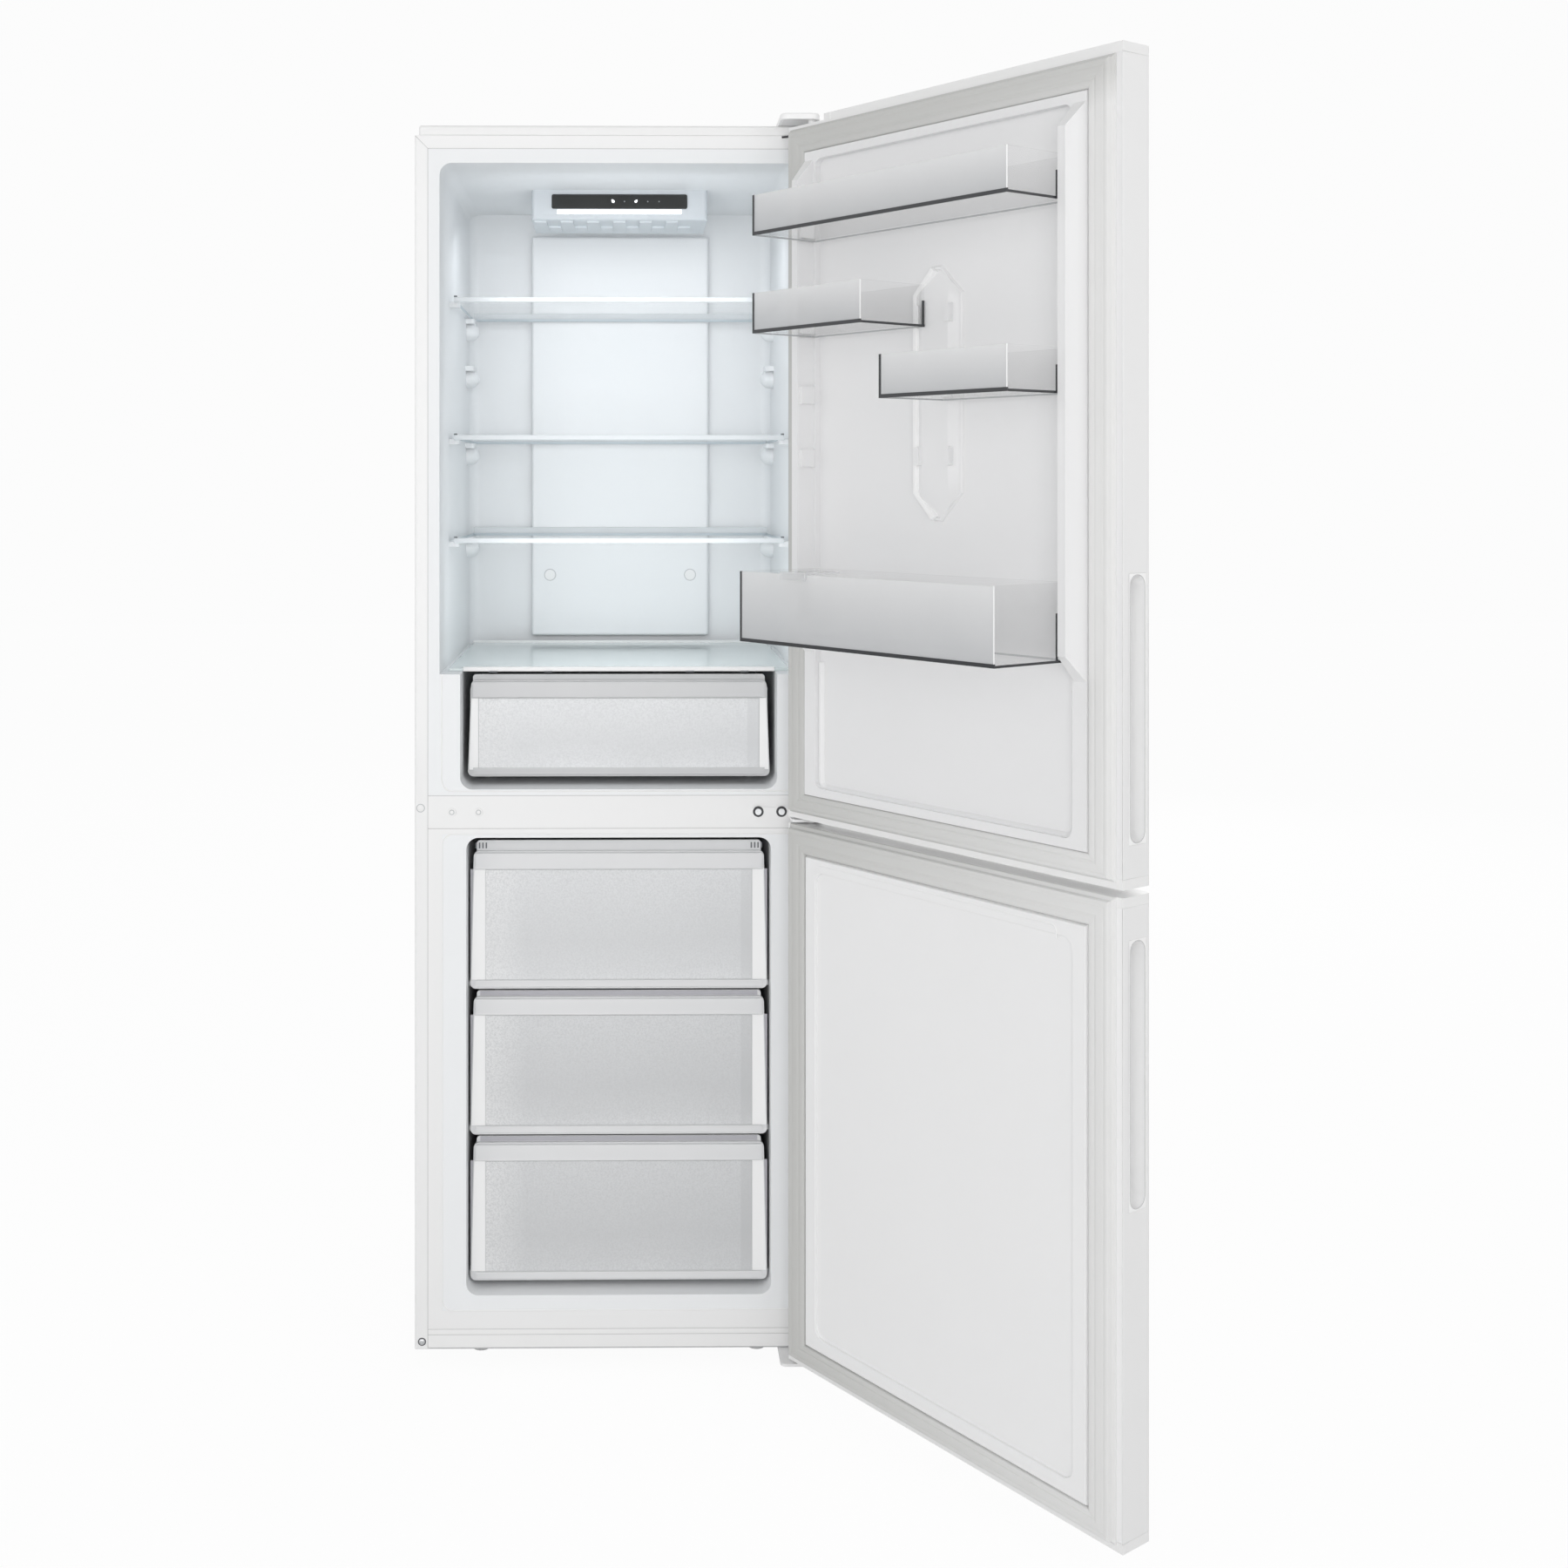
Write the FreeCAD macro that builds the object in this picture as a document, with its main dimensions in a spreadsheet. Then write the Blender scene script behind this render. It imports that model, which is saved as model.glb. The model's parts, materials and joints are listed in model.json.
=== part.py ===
import FreeCAD, Part
import os
import re

os.makedirs("parts", exist_ok=True)
doc = FreeCAD.newDocument("fridge_freezer")
sheet = doc.addObject("Spreadsheet::Sheet", "sizes")

# Driving sizes in millimetres and degrees; shares are parts of a height.
SIZES = {
    "width": 595, "depth": 590, "base_z": 25, "height": 1785,
    "skin": 1, "liner": 2, "cap_h": 15, "cap_inset": 6, "flange": 19, "lip_side": 17, "lip_top": 21,
    "rear_wall": 85, "freezer_zone": 759, "mullion_h": 48, "crisper_room": 168, "crisper_wall": 66,
    "freezer_wall": 75, "freezer_lip": 35, "rail_h": 29, "bay_depth": 220, "bay_wall": 45,
    "tub_radius": 18, "seat": 0.1, "fit": 0.05, "slip": 0.5,
    "foot_in": 92.5, "foot_set": 60, "foot_radius": 13, "foot_h": 8, "stud_radius": 6,
    "roller_radius": 11.5, "roller_w": 24, "roller_in": 47.5, "roller_set": 50, "axle_radius": 3,
    "door_gap": 12, "door_thick": 52, "hinge_inset": 20, "pin_radius": 5, "open_angle": 126,
    "door_space": 9, "end_cap": 12,
    "grip_len": 316, "grip_from_gap": 54, "grip_deep": 28, "grip_in": 14, "grip_w": 26, "grip_wall": 2.5,
    "seal_w": 28, "seal_free": 0.3, "seal_top": 21, "seal_low": 8, "seal_edge": 10,
    "dyke_p": 40, "border_p": 10, "border_w": 24, "border_z": 14, "dyke_w": 21, "dyke_lean": 9,
    "dyke_slope": 42, "rib_tip": 36, "rib_half": 43, "rib_p": 8.5, "rib_flat": 25,
    "lug": 24, "lug_out": 5, "stud_p": 14.5, "stud_w": 8,
    "bin_front": 124, "bottle_front": 146, "bin_back": 9, "bin_mid": 17, "bin_wall": 2.5, "bin_high": 55,
    "bin_a_share": 0.819, "bin_b_share": 0.767, "bin_c_share": 0.471, "bin_d_share": 0.265,
    "bottle_high": 95,
    "bin_radius": 3, "clip_w": 50, "clip_at": 120, "clip_lip": 8,
    "shelf_a_share": 0.748, "shelf_b_share": 0.465, "shelf_c_share": 0.2535, "glass": 4, "shelf_set": 128,
    "trim_deep": 7, "trim_high": 8, "rear_lip": 14, "shelf_back": 19, "rib_reach": 15, "rib_h": 8,
    "knob_radius": 11, "knob_drop": 7,
    "spare_drop": 80,
    "cover_set": 38, "crisper_gap": 7.5, "crisper_set": 44, "wall": 2.5, "front_t": 6, "crisper_back": 40,
    "drawer_gap": 3.5, "drawer_set": 30, "drawer_space": 12, "tub_inset": 5, "tub_gap": 9, "tub_up": 7,
    "rake": 5, "rim_up": 8,
    "air_space": 62, "cover_t": 3,
    "duct_half": 153, "duct_t": 18, "plug_radius": 9, "plug_x": 121, "plug_share": 0.1622,
    "housing_half": 140, "housing_share": 0.4928, "housing_run": 0.308, "housing_h": 48,
    "fascia_half": 108, "fascia_h": 23, "lens_half": 99, "lens_h": 7,
    "fan_drop": 80.5, "fan_radius": 48, "shaft_radius": 3, "comp_radius": 82, "comp_h": 120,
    "hinge_plate": 3, "cover_h": 9, "bracket_t": 4,
}
DERIVED = {
    "front": "=-depth / 2", "rear": "=depth / 2", "half": "=width / 2", "top_z": "=base_z + height",
    "foot_half": "=half - foot_in", "roller_half": "=half - roller_in", "foot_y": "=front + foot_set",
    "roller_y": "=rear - roller_set",
    "open_half": "=half - flange - lip_side", "wrap_top": "=top_z - cap_h",
    "open_top": "=wrap_top - flange - lip_top", "back_y": "=rear - rear_wall",
    "mullion_low": "=base_z + freezer_zone", "mullion_high": "=mullion_low + mullion_h",
    "freezer_top": "=mullion_low - 13.5", "freezer_floor": "=base_z + 78", "frame_low": "=base_z + rail_h",
    "fridge_floor": "=mullion_high + 9", "ledge_z": "=fridge_floor + crisper_room",
    "crisper_half": "=half - crisper_wall", "freezer_half": "=half - freezer_wall",
    "drawer_half": "=freezer_half - drawer_gap", "drawer_c": "=freezer_floor + 9",
    "drawer_h": "=(freezer_top - 25.5 - drawer_c - 2 * drawer_space) / 3",
    "drawer_b": "=drawer_c + drawer_h + drawer_space", "drawer_a": "=drawer_b + drawer_h + drawer_space",
    "bay_y": "=rear - bay_depth", "step_y": "=bay_y - bay_wall - 2", "step_z": "=drawer_c + drawer_h + 5",
    "bay_top": "=step_z - bay_wall", "cover_y": "=back_y - air_space", "comp_y": "=rear - bay_depth / 2",
    "door_in": "=front - door_gap", "door_out": "=door_in - door_thick",
    "hinge_x": "=half - hinge_inset", "hinge_y": "=door_in - door_thick / 2",
    "lower_low": "=base_z + 2", "lower_high": "=mullion_low + 15", "upper_low": "=lower_high + door_space",
    "upper_high": "=top_z - 2", "upper_h": "=upper_high - upper_low",
    "seal_out": "=half - hinge_inset", "seal_far": "=half - seal_edge", "seal_in": "=dyke_out + 1.5",
    "dyke_out": "=open_half - 7.5", "dyke_in": "=dyke_out - dyke_w", "bin_end": "=dyke_in - 3",
    "bin_d": "=upper_low + bin_d_share * upper_h", "bin_a": "=upper_low + bin_a_share * upper_h",
    "rib_low": "=bin_d + bottle_high + 71", "rib_high": "=bin_a - 57",
    "bin_c": "=rib_low + bin_c_share * (rib_high - rib_low)",
    "bin_b": "=rib_low + bin_b_share * (rib_high - rib_low)",
    "dyke_top": "=upper_high - seal_top - seal_w - 1", "dyke_step": "=bin_d - 26",
    "dyke_low": "=upper_low + seal_low + seal_w + 1",
    "bin_spare": "=bin_c - 0.9 * (bin_b - bin_c)",
    "shelf_half": "=open_half - 8.5", "inner_h": "=open_top - ledge_z",
    "shelf_a": "=ledge_z + shelf_a_share * inner_h", "shelf_b": "=ledge_z + shelf_b_share * inner_h",
    "shelf_c": "=ledge_z + shelf_c_share * inner_h", "spare_rib": "=shelf_a - spare_drop",
    "crisper_w": "=2 * (crisper_half - crisper_gap)", "crisper_low": "=fridge_floor + 12",
    "crisper_high": "=ledge_z - 13",
    "duct_y": "=back_y - duct_t", "duct_top": "=open_top - 40", "plug_z": "=ledge_z + plug_share * inner_h",
    "shelf_y": "=front + shelf_set", "shelf_end": "=back_y - shelf_back",
    "drawer_y": "=front + drawer_set", "crisper_y": "=front + crisper_set",
    "housing_y": "=front + housing_share * (duct_y - front)",
    "housing_deep": "=housing_run * (duct_y - front)", "fan_z": "=freezer_top - fan_drop",
}
row = 0
for alias, value in list(SIZES.items()) + list(DERIVED.items()):
    row += 1
    sheet.set("A%d" % row, alias)
    sheet.set("B%d" % row, str(value))
    sheet.setAlias("B%d" % row, alias)
doc.recompute()
NAMES = set(SIZES) | set(DERIVED)
NODES = []


def formula(text):
    """Point every size name in a formula at its cell."""
    def cell(match):
        word = match.group(0)
        return "sizes." + word if word in NAMES else word
    return re.sub(r"[a-z][a-z0-9_]*", cell, str(text))


def bind(obj, prop, text):
    obj.setExpression(prop, formula(text))


def size(alias):
    return float(getattr(sheet, alias))


def box(x0, x1, y0, y1, z0, z1):
    obj = doc.addObject("Part::Box", "block")
    for prop, a, b in (("Length", x0, x1), ("Width", y0, y1), ("Height", z0, z1)):
        bind(obj, prop, "(%s) - (%s)" % (b, a))
    for axis, a in (("x", x0), ("y", y0), ("z", z0)):
        bind(obj, "Placement.Base." + axis, a)
    return obj


def side(sign, a, b):
    """The span a to b from the middle plane, on the right for 1 and on the left for -1."""
    return (a, b) if sign > 0 else ("-(%s)" % b, "-(%s)" % a)


def rod(axis, x, y, z, radius, length):
    """A cylinder that starts at x, y, z and runs along an axis."""
    obj = doc.addObject("Part::Cylinder", "rod")
    bind(obj, "Radius", radius)
    bind(obj, "Height", length)
    turn = {"x": (FreeCAD.Vector(0, 1, 0), 90), "y": (FreeCAD.Vector(1, 0, 0), -90),
            "z": (FreeCAD.Vector(0, 0, 1), 0)}
    obj.Placement = FreeCAD.Placement(FreeCAD.Vector(), FreeCAD.Rotation(*turn[axis]))
    for name, a in (("x", x), ("y", y), ("z", z)):
        bind(obj, "Placement.Base." + name, a)
    return obj


def cone(x, y, z, low, high, length):
    obj = doc.addObject("Part::Cone", "cone")
    bind(obj, "Radius1", low)
    bind(obj, "Radius2", high)
    bind(obj, "Height", length)
    for name, a in (("x", x), ("y", y), ("z", z)):
        bind(obj, "Placement.Base." + name, a)
    return obj


def taper(y0, y1, near, far):
    """A block from y0 to y1 whose x and z outline changes from near to far."""
    obj = doc.addObject("Part::Wedge", "taper")
    for prop, a in (("Ymin", y0), ("Ymax", y1), ("Xmin", near[0]), ("Xmax", near[1]), ("Zmin", near[2]),
                    ("Zmax", near[3]),
                    ("X2min", far[0]), ("X2max", far[1]), ("Z2min", far[2]), ("Z2max", far[3])):
        bind(obj, prop, a)
    return obj


def roof(z0, z1, near, far):
    """A block from z0 to z1 whose x and y outline changes from near to far."""
    obj = doc.addObject("Part::Wedge", "roof")
    for prop, a in (("Ymin", z0), ("Ymax", z1), ("Xmin", near[0]), ("Xmax", near[1]),
                    ("Zmin", "-(%s)" % near[3]),
                    ("Zmax", "-(%s)" % near[2]), ("X2min", far[0]), ("X2max", far[1]),
                    ("Z2min", "-(%s)" % far[3]),
                    ("Z2max", "-(%s)" % far[2])):
        bind(obj, prop, a)
    obj.Placement = FreeCAD.Placement(FreeCAD.Vector(), FreeCAD.Rotation(FreeCAD.Vector(1, 0, 0), 90))
    return obj


def cut(base, *tools):
    obj = doc.addObject("Part::Cut", "cut")
    obj.Base = base
    obj.Tool = tools[0] if len(tools) == 1 else fuse(*tools)
    return obj


def fuse(*shapes):
    obj = doc.addObject("Part::MultiFuse", "fuse")
    obj.Shapes = list(shapes)
    obj.Refine = True
    return obj


def rounded(base, radius, **sides):
    """Round straight edges. Each axis names the sides its edges lie on, as z="y-" for upright front edges."""
    doc.recompute()
    around = base.Shape.BoundBox.Center
    edges = []
    for i, edge in enumerate(base.Shape.Edges):
        ends = [v.Point for v in edge.Vertexes]
        if len(ends) != 2 or edge.Curve.TypeId != "Part::GeomLine":
            continue
        line = ends[1] - ends[0]
        off = edge.CenterOfMass - around
        for axis, where in sides.items():
            along = abs(getattr(line, axis)) > 0.999 * line.Length
            signs = zip(where[0::2], where[1::2])
            if along and all(getattr(off, a) * (1 if sign == "+" else -1) > 0 for a, sign in signs):
                edges.append((i + 1, radius, radius))
    obj = doc.addObject("Part::Fillet", "rounded")
    obj.Base = base
    obj.Edges = edges
    return obj


def node(label, *shapes, door=False):
    """A finished piece, moved to the frame whose origin is under the front left foot."""
    obj = doc.addObject("Part::Compound", label)
    obj.Label = label
    obj.Links = list(shapes)
    x, y = "foot_half", "-foot_y"
    if door:
        obj.Placement = FreeCAD.Placement(FreeCAD.Vector(),
                                          FreeCAD.Rotation(FreeCAD.Vector(0, 0, 1), size("open_angle")))
        bind(obj, "Placement.Rotation.Angle", "open_angle")
        x += " + hinge_x - (hinge_x * cos(open_angle) - hinge_y * sin(open_angle))"
        y += " + hinge_y - (hinge_x * sin(open_angle) + hinge_y * cos(open_angle))"
    bind(obj, "Placement.Base.x", x)
    bind(obj, "Placement.Base.y", y)
    NODES.append(obj)
    return obj


BOTH = (1, -1)

# Outer cabinet: one folded sheet over both sides and the top, with returns round the front.
wrap_out = rounded(box("-half", "half", "front", "rear", "base_z", "wrap_top"), 3.0, y="z+", z="y-")
wrap_in = box("-half + skin", "half - skin", "front + skin", "rear + 1", "base_z - 1", "wrap_top - skin")
wrap_mouth = box("-half + flange", "half - flange", "front - 1", "front + skin + 1", "base_z - 1",
                 "wrap_top - flange")
node("outer_wrap", cut(wrap_out, wrap_in, wrap_mouth))

cap = rounded(box("-half + cap_inset", "half - cap_inset", "front", "rear", "wrap_top", "top_z"), 4.0,
              x="z+", y="z+", z="")
node("top_cap", cap)
node("rear_panel", box("-half + skin", "half - skin", "rear - skin", "rear", "bay_top", "wrap_top - skin"))

# Base pan: the floor of the cabinet, then the wall and roof of the compressor bay.
pan_floor = box("-half + skin", "half - skin", "front + skin", "rear", "base_z", "base_z + 2")
pan_wall = box("-half + skin", "half - skin", "bay_y", "bay_y + skin", "base_z + 2", "bay_top")
pan_roof = box("-half + skin", "half - skin", "bay_y", "rear", "bay_top - skin", "bay_top")
node("base_pan", fuse(pan_floor, pan_wall, pan_roof))

# Insulation: slabs that fill the walls between the sheet metal and the two inner tubs.
foam = []
for s in BOTH:
    x0, x1 = side(s, "open_half + liner", "half - skin")
    foam.append(box(x0, x1, "front + liner", "back_y + liner", "ledge_z - liner", "open_top + liner"))
    x0, x1 = side(s, "crisper_half + liner", "half - skin")
    foam.append(box(x0, x1, "front + liner", "back_y + liner", "fridge_floor - liner", "ledge_z - liner"))
    x0, x1 = side(s, "freezer_half + liner", "half - skin")
    foam.append(box(x0, x1, "front + liner", "bay_y", "base_z + 2", "freezer_top + liner"))
    foam.append(box(x0, x1, "bay_y", "back_y + liner", "bay_top", "freezer_top + liner"))
foam.append(box("-half + skin", "half - skin", "front + liner", "back_y + liner", "open_top + liner",
                "wrap_top - skin"))
foam.append(box("-half + skin", "half - skin", "front + liner", "back_y + liner", "freezer_top + liner",
                "fridge_floor - liner"))
foam.append(box("-half + skin", "half - skin", "back_y + liner", "rear - skin", "bay_top",
                "wrap_top - skin"))
foam.append(box("-freezer_half - liner", "freezer_half + liner", "front + liner", "step_y + liner",
                "base_z + 2", "freezer_floor - liner"))
foam.append(box("-freezer_half - liner", "freezer_half + liner", "step_y + liner", "bay_y", "base_z + 2",
                "step_z - liner"))
foam.append(box("-freezer_half - liner", "freezer_half + liner", "bay_y", "back_y + liner", "bay_top",
                "step_z - liner"))
node("insulation", *foam)

# Upper inner tub, wide above the ledge and narrow round the crisper, with ribs under each shelf.
upper_shell = fuse(
    box("-open_half - liner", "open_half + liner", "front", "back_y + liner", "ledge_z - liner",
        "open_top + liner"),
    box("-crisper_half - liner", "crisper_half + liner", "front", "back_y + liner", "fridge_floor - liner",
        "ledge_z"),
    box("-half + flange", "half - flange", "front", "front + liner", "mullion_high", "wrap_top - flange"))
wide = rounded(box("-open_half", "open_half", "front - 1", "back_y", "ledge_z", "open_top"),
               size("tub_radius"), y="z+", z="y+")
narrow = rounded(box("-crisper_half", "crisper_half", "front - 1", "back_y", "fridge_floor", "ledge_z + 1"),
                 size("tub_radius"), y="z-", z="y+")
ribs = []
for level in ("shelf_a", "shelf_b", "shelf_c", "spare_rib"):
    for s in BOTH:
        x0, x1 = side(s, "open_half - rib_reach", "open_half + liner / 2")
        spans = [("shelf_end - 62", "shelf_end - 10")]
        if level != "spare_rib":
            spans.append(("shelf_y + 16", "shelf_y + 46"))
        for y0, y1 in spans:
            bar = box(x0, x1, y0, y1, level + " - rib_h - seat", level + " - seat")
            ribs.append(rounded(bar, 6.0, z="x-" if s > 0 else "x+"))
        knob = rod("x", x0, "shelf_end - 36", level + " - rib_h - seat - knob_drop", "knob_radius",
                   "rib_reach + liner / 2")
        ribs.append(knob)
node("fridge_liner", fuse(cut(upper_shell, wide, narrow), *ribs))

# Lower inner tub, stepped over the compressor bay, with a runner under each drawer.
lower_shell = fuse(
    box("-freezer_half - liner", "freezer_half + liner", "front", "back_y + liner", "step_z - liner",
        "freezer_top + liner"),
    box("-freezer_half - liner", "freezer_half + liner", "front", "step_y + liner", "freezer_floor - liner",
        "step_z"),
    box("-freezer_half - freezer_lip", "freezer_half + freezer_lip", "front", "front + liner",
        "freezer_floor - 22", "freezer_top + 5.5"))
tall = rounded(box("-freezer_half", "freezer_half", "front - 1", "back_y", "step_z", "freezer_top"),
               size("tub_radius"), y="z+")
short = rounded(box("-freezer_half", "freezer_half", "front - 1", "step_y", "freezer_floor", "step_z + 1"),
                size("tub_radius"), y="z-")
runners = []
for level, last in (("drawer_a", "cover_y - 6"), ("drawer_b", "cover_y - 6"), ("drawer_c", "step_y - 12")):
    for s in BOTH:
        x0, x1 = side(s, "freezer_half - 16", "freezer_half + liner / 2")
        runners.append(box(x0, x1, "drawer_y + 20", last, level + " + tub_up - 8 - seat",
                           level + " + tub_up - seat"))
node("freezer_liner", fuse(cut(lower_shell, tall, short), *runners))

# Front frame: the crossbar between the doors and the border round the freezer.
bar = box("-half + flange", "half - flange", "front", "front + skin", "mullion_low", "mullion_high")
plate = box("-half + flange", "half - flange", "front", "front + skin", "frame_low", "mullion_low - 0.4")
window = box("-freezer_half - freezer_lip", "freezer_half + freezer_lip", "front - 1", "front + 5",
             "freezer_floor - 22", "freezer_top + 5.5")
PLUGS = (("-half + 54", "mullion_low + 24"), ("-half + 93", "mullion_low + 24"))
bar_holes = [rod("y", x, "front - 1", z, 4.0, 5) for x, z in PLUGS]
node("front_frame", cut(bar, *bar_holes), cut(plate, window))
rail = rounded(box("-half + flange", "half - flange", "front", "front + liner", "base_z + 2", "frame_low"),
               0.8, x="y-")
node("base_rail", rail)

# Ceiling unit: housing with vent slots, dark touch panel and light lens.
room = box("-housing_half + 3", "housing_half - 3", "housing_y + 3", "housing_y + housing_deep - 3",
           "open_top - housing_h + 3", "open_top + 1")
shell = rounded(box("-housing_half", "housing_half", "housing_y", "housing_y + housing_deep",
                    "open_top - housing_h", "open_top"),
                6.0, x="y-z-", z="y-")
lens_hole = box("-lens_half", "lens_half", "housing_y - 1", "housing_y + 4", "open_top - 31 - lens_h",
                "open_top - 31")
slots = []
for i in range(6):
    x = -105 + 42 * i
    slots.append(rounded(box(x - 17, x + 17, "housing_y - 1", "housing_y + 1.2", "open_top - 46",
                             "open_top - 39.5"), 2.0, y=""))
node("control_housing", cut(shell, room, lens_hole, *slots))
node("display_fascia", rounded(box("-fascia_half", "fascia_half", "housing_y - 2", "housing_y",
                                   "open_top - 7 - fascia_h", "open_top - 7"),
                               3.0, y=""))
node("led_lens", box("-lens_half", "lens_half", "housing_y - 0.8", "housing_y + 3",
                     "open_top - 31 - lens_h", "open_top - 31"))

# Air duct cover on the back wall, hollow behind.
duct_out = rounded(box("-duct_half", "duct_half", "duct_y", "back_y", "ledge_z + glass + 12", "duct_top"),
                   5.0, x="y-", z="y-", y="")
duct_in = box("-duct_half + 3", "duct_half - 3", "duct_y + 3", "back_y + 1", "ledge_z + glass + 15",
              "duct_top - 3")
vents = []
for level in ("shelf_a + 60", "shelf_b + 60", "shelf_c + 60"):
    for s in BOTH:
        x0, x1 = side(s, "duct_half - 10", "duct_half + 5")
        vents.append(box(x0, x1, "duct_y + 7", "duct_y + 13", level, level + " + 50"))
duct_holes = [rod("y", x, "duct_y - 1", "plug_z", 5.0, 6) for x in ("plug_x", "-plug_x")]
node("duct_panel", cut(duct_out, duct_in, *(vents + duct_holes)))

# Round plugs: a thin head on a stem that fills its hole.
plugs = []
for x in ("plug_x", "-plug_x"):
    plugs.append(fuse(rod("y", x, "duct_y - 1.5", "plug_z", "plug_radius", 1.5),
                      rod("y", x, "duct_y - 0.5", "plug_z", 4.95, 3.5)))
for x, z in PLUGS:
    plugs.append(fuse(rod("y", x, "front - 1.5", z, 6.0, 1.5), rod("y", x, "front - 0.5", z, 3.95, 1.5)))
node("hole_plugs", *plugs)

# Freezer air side: cover plate with fan grille, coil, motor and blade.
grille = [rod("y", "0", "cover_y - 1", "fan_z", "fan_radius - 4", "cover_t + 2")]
bars = [box(-2, 2, "cover_y", "cover_y + cover_t", "fan_z - fan_radius", "fan_z + fan_radius"),
        box("-fan_radius", "fan_radius", "cover_y", "cover_y + cover_t", "fan_z - 2", "fan_z + 2")]
rings = cut(rod("y", "0", "cover_y", "fan_z", "fan_radius / 2 + 3", "cover_t"),
            rod("y", "0", "cover_y - 1", "fan_z", "fan_radius / 2 - 1", "cover_t + 2"))
edge_x = "freezer_half - 4"
cover = rounded(box("-(%s)" % edge_x, edge_x, "cover_y", "cover_y + cover_t", "step_z", "freezer_top - 4"),
                size("tub_radius"), y="z+")
feet = []
for s in BOTH:
    x0, x1 = side(s, "freezer_half - 14", edge_x)
    feet.append(box(x0, x1, "cover_y + cover_t", "back_y", "step_z", "freezer_top - 30"))
node("evaporator_cover", fuse(cut(cover, *grille), rings, *(bars + feet)))
coil_half = "(freezer_half - 37.5)"
fins = []
for i in range(-8, 9):
    x = "%s * %d / 9.25" % (coil_half, i)
    fins.append(box(x + " - 0.5", x + " + 0.5", "cover_y + cover_t + 6", "back_y", "step_z + 60",
                    "step_z + 230"))
pipes = [rod("x", "-" + coil_half, "cover_y + cover_t + 21", "step_z + %d" % z, 4.0,
             "2 * " + coil_half) for z in range(80, 231, 25)]
node("evaporator", fuse(*(fins + pipes)))
motor = fuse(rod("y", "0", "back_y - 22", "fan_z", 18, 22),
             rod("y", "0", "back_y - 40", "fan_z", "shaft_radius", 20))
node("fan_motor", motor)
hub = rod("y", "0", "back_y - 41", "fan_z", 14, 14)
blades = []
for i in range(5):
    vane = doc.addObject("Part::Box", "vane")
    bind(vane, "Length", "fan_radius - 12")
    bind(vane, "Width", 2)
    bind(vane, "Height", 22)
    turn = FreeCAD.Rotation(FreeCAD.Vector(0, 1, 0), 72 * i) * FreeCAD.Rotation(FreeCAD.Vector(1, 0, 0), 35)
    vane.Placement = FreeCAD.Placement(turn.multVec(FreeCAD.Vector(10, -1, -11)), turn)
    start = turn.multVec(FreeCAD.Vector(10, -1, -11))
    bind(vane, "Placement.Base.x", "%.4f" % start.x)
    bind(vane, "Placement.Base.y", "back_y - 34 + (%.4f)" % start.y)
    bind(vane, "Placement.Base.z", "fan_z + (%.4f)" % start.z)
    blades.append(vane)
node("fan_blade", cut(fuse(hub, *blades), rod("y", "0", "back_y - 42", "fan_z", "shaft_radius + fit", 17)))

# Compressor on four grommets in the bay, with a louvred cover behind it.
can = fuse(rod("z", -40, "comp_y", "base_z + 40", "comp_radius", "comp_h - 40"),
           cone(-40, "comp_y", "base_z + 14", "comp_radius - 25", "comp_radius", 26),
           cone(-40, "comp_y", "base_z + comp_h", "comp_radius", "comp_radius - 40", 34),
           box(-150, 70, "comp_y - 60", "comp_y + 60", "base_z + 12", "base_z + 16"))
node("compressor", can)
node("compressor_grommets", *[rod("z", x, "comp_y + (%d)" % y, "base_z + 2", 11,
                                  10) for x in (-135, 55) for y in (-45, 45)])
louvres = [box(-240 + 60 * i, -200 + 60 * i, "rear - 5", "rear + 1", "base_z + 40 + %d" % z,
               "base_z + 46 + %d" % z)
           for i in range(8) for z in range(0, 140, 28)]
node("bay_cover", cut(box("-half + skin", "half - skin", "rear - 2", "rear", "base_z + 2",
                          "bay_top - skin"), *louvres))

# Hinges. The two lower brackets share the axis of the top pin.
top_plate = box("hinge_x - 40", "hinge_x + 8", "hinge_y - 9", "front + 60", "top_z", "top_z + hinge_plate")
node("top_hinge", fuse(rounded(top_plate, 8.0, z=""),
                       rod("z", "hinge_x", "hinge_y", "upper_high - 16", "pin_radius",
                           "top_z - upper_high + 17")))
hood_out = rounded(box("hinge_x - 45", "hinge_x + 12", "hinge_y - 13", "front + 66", "top_z",
                       "top_z + cover_h"), 12.0, z="")
hood = rounded(hood_out, 3.0, x="z+", y="z+")
hood_in = rounded(box("hinge_x - 40 - 0.2", "hinge_x + 8 + 0.2", "hinge_y - 9 - 0.2", "front + 60 + 0.2",
                      "top_z - 1", "top_z + cover_h - 2"), 8.2, z="")
node("hinge_cover", cut(hood, hood_in))
gap_mid = "(upper_low + lower_high) / 2"
arm = rounded(box("hinge_x - 30", "hinge_x + 12", "hinge_y - 12", "front", gap_mid + " - bracket_t / 2",
                  gap_mid + " + bracket_t / 2"),
              8.0, z="y-")
ear = box("hinge_x - 84", "hinge_x + 12", "front - 3", "front", gap_mid + " - 8", gap_mid + " + 11")
pin = rod("z", "hinge_x", "hinge_y", "lower_high - 16", "pin_radius", "upper_low - lower_high + 32")
SCREWS = ("hinge_x - 74", "hinge_x - 40")
ear_holes = [rod("y", x, "front - 5", gap_mid + " + 5", 3.0, 8) for x in SCREWS]
node("mid_hinge", fuse(cut(rounded(ear, 4.0, y="x-"), *ear_holes), arm, pin))
foot_plate = rounded(box("hinge_x - 45", "hinge_x + 12", "hinge_y - 12", "front + 60", "base_z - bracket_t",
                         "base_z"), 8.0, z="")
node("bottom_hinge", fuse(foot_plate, rod("z", "hinge_x", "hinge_y", "base_z - 1", "pin_radius",
                                          "lower_low - base_z + 15")))
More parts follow.
